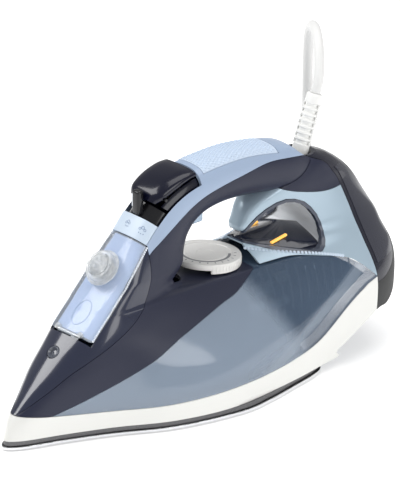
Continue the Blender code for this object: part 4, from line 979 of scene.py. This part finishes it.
def controls():
    band = arch_form("band")
    cut(band, arch_form("under", 2.0))
    keep(band, slope_slab("frame", DOOR_LENGTH + 0.3, BAND_LENGTH - 0.2, 16.2, 12.0))
    done(band, "icon_band", "band", slot="band_blue", bevel=0.25)
    skin = Skin(arch_form("skin"))
    along = (DOOR_LENGTH + BAND_LENGTH) / 2
    marks = []
    for x, spread in ((-1.5, 1.0), (11.0, 1.25)):
        for dx, da, r in ((-1.3, 0, 0.9), (0, 0.9, 1.1), (1.3, 0.1, 0.9), (-0.9, -2.2, 0.35), (0.3, -2.4, 0.35),
                          (1.4, -2.1, 0.35)):
            spot, normal = skin.hit(on_slope(x + dx * spread, along + 0.6 + da * spread, 30), -OUT)
            if spot:
                outer = turned("mark", ((r, -0.2), (r, 0.06), (r * 0.9, 0.07)), frame_matrix(spot, normal), 20)
                if r > 0.5:
                    cut(outer, drill(spot, normal * 0.001, r - 0.3, 20))
                marks.append(outer)
    done(merged("steam_marks", marks), "steam_marks", "print")

    low, high = on_slope(0, BAND_LENGTH + 0.4, -16.4), on_slope(0, HUB_LENGTH - 0.4, -16.4)
    hub = rod("selector", low, high, 15.6, sides=96)
    join(hub, block("post", at(0.8, 116.5, 141.2), (6.6, 5.4, 16.6), 1.7))
    done(hub, "selector", "gloss_black", "selector", slot="gloss_black", bevel=0.4)
    ridge = block("post_line", at(-1.9, 114.2, 142.5), (0.6, 0.6, 9.0), 0.2)
    done(ridge, "post_line", "chromed", "selector")


def dial():
    matrix = Matrix.Translation(DIAL_FOOT) @ Matrix.Rotation(-DIAL_TILT, 4, "X")
    r, half = 23.5, 2.1
    disc = turned("dial", ((r - 0.6, -half), (r - 0.2, -half + 0.2), (r, -half + 0.6), (r, half - 0.8),
                           (r - 0.25, half - 0.25), (r - 0.8, half), (r - 5.6, half), (r - 6.0, half - 0.45),
                           (r - 9.6, half - 0.45), (r - 10.0, half - 0.1), (6.0, half - 0.1), (5.6, half - 0.4),
                           (2.0, half - 0.4)), matrix, 144)
    arc = [math.radians(a) for a in range(-32, 71, 3)]
    outer = [(r - 0.05) * Vector((math.cos(a), math.sin(a))) for a in arc]
    inner = [(r - 2.8) * Vector((math.cos(a), math.sin(a))) for a in arc[::-1]]
    join(disc, loft("lip", [[matrix @ (Vector((p.x, p.y, z)) * MM) for p in outer + inner]
                            for z in (half - 6.4, half - 1.2)]))
    done(disc, "dial", "dial", "dial", slot="dial_white", bevel=0.35)
    ribs = []
    for a in arc[1:-1:2]:
        out = Vector((math.cos(a), math.sin(a), 0))
        ribs.append(block("rib", matrix @ ((out * r + Vector((0, 0, -1.6))) * MM), (0.5, 1.0, 4.2), 0.2,
                          matrix.to_3x3() @ Matrix.Rotation(a, 3, "Z"), 2))
    done(merged("dial_ribs", ribs), "dial_ribs", "dial", "dial")


# ---------------------------------------------------------------- rear

def rear():
    form = rear_form("rear_panel")
    hollow = rear_form("hollow", WALL)
    cut(hollow, window_prism(WALL))
    cut(form, window_prism(), hollow)
    keep(form, prism("rear_room", ((201.5, 0), (201.5, 90.5), (196, 92), (186, 200), (FAR, 200), (FAR, 0))),
         below(SCOOP_LINE), in_front_of(HEEL_LINE),
         side_of(TANK_LINE, ((FAR, 44), (FAR, FAR), (-FAR, FAR), (-FAR, 79.4)), GAP))
    done(form, "rear_panel", "satin", slot="satin_blue", bevel=0.3)
    for name, low, high in (("rear_web_left", -60, -0.2), ("rear_web_right", 0.2, 60)):
        web = rear_form(name)
        keep(web, above(SCOOP_LINE), in_front_of(HEEL_LINE),
             prism("room", ((216.6, 100), (216.6, 136), (300, 136), (300, 100)), low, high))
        cut(web, arch_form("handle_room", -GAP), rear_form("inside", WALL))
        done(web, name, "navy_side", slot="navy_satin", bevel=0.3)

    # The window's lining and its dark rims.
    lining = keep(rear_form("lining", 0.9), window_prism(-0.1))
    cut(lining, window_prism(-1.0))
    done(lining, "window_lining", "tunnel")
    for name, low, high in (("window_trim_left", -60, -2), ("window_trim_right", 2, 60)):
        ring = rear_form(name, -0.45)
        keep(ring, prism("side", ((150, 60), (290, 60), (290, 130), (150, 130)), low, high), window_prism(-GAP))
        cut(ring, rear_form("inside", 3.2), window_prism(-2.4))
        done(ring, name, "trim", slot="trim_navy", bevel=0.5)

    # The floor in the window and its lamps.
    corners = [(x * side, s, z) for side in (-1, 1) for x, s, z in
               ((14, 204, 87.4), (24, 230.6, 82.9), (28, 254, 79.5), (14, 204, 76), (24, 231, 72), (28, 254, 72))]
    corners += [(0, 204, 91.0), (0, 243, 90.2), (0, 256, 86.0)]
    bm = bmesh.new()
    for p in corners:
        bm.verts.new(at(*p))
    found = bmesh.ops.convex_hull(bm, input=bm.verts)
    loose = [v for v in found["geom_interior"] + found["geom_unused"] if isinstance(v, bmesh.types.BMVert)]
    bmesh.ops.delete(bm, geom=loose, context="VERTS")
    floor = keep(place(bm, "lamp_floor"), window_prism(-1.0), rear_form("limit", 3.4))
    skin = tree_of(floor)
    lamps = []
    for side in (-1, 1):
        spot, normal, _, _ = skin.ray_cast(at(14.0 * side, 227.5, 110), Vector((0, 0, -1)))
        ahead, _, _, _ = skin.ray_cast(at(14.0 * side, 221.5, 110), Vector((0, 0, -1)))
        turn = (spot - ahead).to_track_quat("Y", "Z").to_matrix()
        cut(floor, block("pocket", spot, (3.0, 14.4, 2.0), 0, turn))
        lamps.append(block("lens", spot + normal * 0.1 * MM, (2.4, 13.8, 1.6), 0.7, turn))
    done(floor, "lamp_floor", "floor", nodes=("lamp_housing",), slot="navy_gloss", bevel=0.3)
    for lamp, side in zip(lamps, ("left", "right")):
        done(lamp, "lamp_lens_" + side, "amber", nodes=("indicator_lens_" + side,), slot="amber_lens")

    # A row of facets along the panel's lower edge, on both sides.
    skin = Skin(rear_form("skin"))
    facets = []
    line = smooth(((200, 86.5), (212, 83.8), (226, 80.9), (240, 78.2), (252, 75.2), (262, 72.2)), 6)
    for side in (-1, 1):
        for a, b in zip(line, line[1:]):
            m = (a + b) / 2
            spot, normal = skin.hit(at(90 * side, m.x, m.y + 0.3), (-side, 0, 0))
            if spot:
                facets.append(bead(spot, normal, 1.25, 0.6, 6))
    done(merged("panel_edge_facets", facets), "panel_edge_facets", "band")


def heel():
    form = rear_form("heel_cover")
    keep(form, behind(HEEL_LINE), in_front_of(BUMPER_LINE), above(UNDER_LINE))
    relief = rod("relief_hole", RELIEF_AT - RELIEF_AXIS * 0.012, RELIEF_AT + RELIEF_AXIS * 0.03, 6.05, sides=46)
    room = keep(arch_form("handle_room", -GAP), prism("upper", ((200, 100), (200, 200), (340, 200), (340, 100))))
    cut(form, relief, room, rear_form("inside", WALL))
    done(form, "heel_cover", "heel", slot="heel_navy", bevel=0.35)
    inset = rear_form("inset", -0.35)
    keep(inset, behind(HEEL_LINE, 7), in_front_of(BUMPER_LINE, 5),
         prism("room", ((240, 60), (240, 128), (320, 118), (320, 62))))
    cut(inset, rear_form("inside", 0.6))
    done(inset, "heel_inset", "heel_gloss", bevel=0.3)
    bumper = rear_form("bumper")
    keep(bumper, behind(HEEL_LINE), behind(BUMPER_LINE), above(UNDER_LINE))
    cut(bumper, rear_form("inside", 4))
    done(bumper, "heel_bumper", "bumper", slot="black_rubber", bevel=0.6)

    # The strain relief: seven grooves, each bridged on two sides.
    matrix = frame_matrix(RELIEF_AT, RELIEF_AXIS)
    low, tip, length = 5.7, 5.3, RELIEF_LENGTH
    profile = [(low - 1, -4), (low, -3.4)]
    grooves = [4 + (length - 12) * k / 6 for k in range(7)]
    for z in grooves:
        r = low + (tip - low) * z / length
        profile += [(r - 0.15, z - 1.45), (r - 0.95, z - 1.0), (r - 1.15, z - 0.7), (r - 1.15, z + 0.7),
                    (r - 0.95, z + 1.0), (r - 0.15, z + 1.45), (r, z + 1.7)]
    profile += [(tip, length - 1.2), (tip - 0.3, length - 0.4), (tip - 0.9, length)]
    sleeve = turned("strain_relief", profile, matrix, 48)
    for z in grooves:
        for a in (0.35, 0.35 + math.pi):
            mid = matrix @ (Vector((math.cos(a) * 5.4, math.sin(a) * 5.4, z)) * MM)
            join(sleeve, block("link", mid, (1.2, 2.6, 3.2), 0.3,
                               matrix.to_3x3() @ Matrix.Rotation(a, 3, "Z"), 2))
    done(sleeve, "strain_relief", "white", slot="white_parts", bevel=0.2)


# ---------------------------------------------------------------- lead

def lead():
    start = RELIEF_AT + RELIEF_AXIS * (RELIEF_LENGTH + GAP) * MM
    route = smooth([start, start + RELIEF_AXIS * 7 * MM] + CORD_ROUTE, 3)
    # The coil winds inwards in its lower layer and outwards in its upper one.
    pitch, low, high = 7.15 * MM, 4.85 * MM, 12.0 * MM
    outer, inner, entry = 49.65 * MM, 35.35 * MM, COIL_ENTRY * MM
    steps, down, up = 32, 2.6, 2.68
    ease = lambda t: t * t * (3 - 2 * t)
    coil = []
    for k in range(1, int((down + up) * steps) + 1):
        t = k / steps
        if t < down:
            r, z = (outer + (entry - outer) * (1 - ease(t / 0.6)) if t < 0.6 else outer - pitch * (t - 0.6)), low
        else:
            r = inner + pitch * max(0.0, t - down - 0.3)
            z = low + (high - low) * ease(min(1.0, (t - down) / 0.3))
        a = math.radians(90 + 360 * t)
        coil.append(COIL_AT + Vector((r * math.cos(a), r * math.sin(a), z)))
    plug_half = Vector((0, PLUG_LENGTH / 2, 0)) * MM
    plug_rear = PLUG_AT - plug_half
    rise = plug_rear - Vector((1.5 * MM, 22 * MM, 5.5 * MM))
    tail = smooth([coil[-1], rise, plug_rear - Vector((0, 8, 0.6)) * MM, plug_rear + Vector((0, MM, 0))], 8)
    points = route + coil[:-1] + tail
    line = wire("lead", points, CORD / 2, 4)
    length = sum((b - a).length for a, b in zip(points, points[1:]))
    done(line, "lead", "sheath", nodes=("cord", "cord_coil"), slot="cord_white")

    strap_at = COIL_AT + Vector((-42.5, 0, 8.5)) * MM
    strap = block("coil_tie", strap_at, (24.5, 6, 17.0), 2.2)
    cut(strap, block("hole", strap_at, (22.1, 20, 14.6), 1.4))
    done(strap, "coil_tie", "bumper", slot="black_rubber")

    body = block("plug", PLUG_AT, (PLUG_WIDTH, PLUG_LENGTH, PLUG_HEIGHT), 5, segments=6)
    for side in (-1, 1):
        for k in range(4):
            grip = PLUG_AT + Vector((side * PLUG_WIDTH / 2, -9 + 3.2 * k, 0)) * MM
            cut(body, block("groove", grip, (1.6, 1.3, 9), 0.3, segments=2))
    pins = []
    for x in (-9.5, 9.5):
        spot = PLUG_AT + plug_half + Vector((x, 0, 0)) * MM
        cut(body, rod("socket", spot + Vector((0, 10, 0)) * MM, spot - Vector((0, 6, 0)) * MM, 2.7))
        pins.append(turned("pin", ((2.4, 0), (2.4, 23.4), (2.2, 24.2), (1.4, 24.6)),
                           frame_matrix(spot - Vector((0, 5.6, 0)) * MM, (0, 1, 0)), 32))
    nose_profile = ((5.6, -2), (5.4, 3), (4.4, 6.5), (4.0, 7.0))
    join(body, turned("nose", nose_profile, frame_matrix(plug_rear, (0, -1, 0)), 32))
    done(body, "plug", "white", nodes=("plug_body",), slot="white_parts", bevel=0.2)
    for pin, side in zip(pins, ("left", "right")):
        done(pin, "plug_pin_" + side, "pins", slot="pin_metal")


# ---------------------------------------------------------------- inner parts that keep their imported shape

INNER_PARTS = {
    "casting": ("heater_casting",), "white": ("thermostat", "dial_spindle", "terminal_block"),
    "filler": ("fill_funnel",), "gloss_black": ("trigger_pin", "pump_body", "pump_piston"),
    "steel": ("heating_element", "chamber_cover", "cover_screw_left", "cover_screw_right", "cover_screw_rear",
              "thermal_fuse", "door_pin", "valve_rod", "pump_spring"),
}


def inner_parts():
    for finish, nodes in INNER_PARTS.items():
        for node in nodes:
            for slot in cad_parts[node].material_slots:
                slot.material = FINISHES[finish]


studio()
for make in (lead, sole, skirt, tank, nose, housing, handle, trigger, filling_door, controls, dial, rear, heel,
             inner_parts):
    make()
bpy.data.collections.remove(HIDDEN)
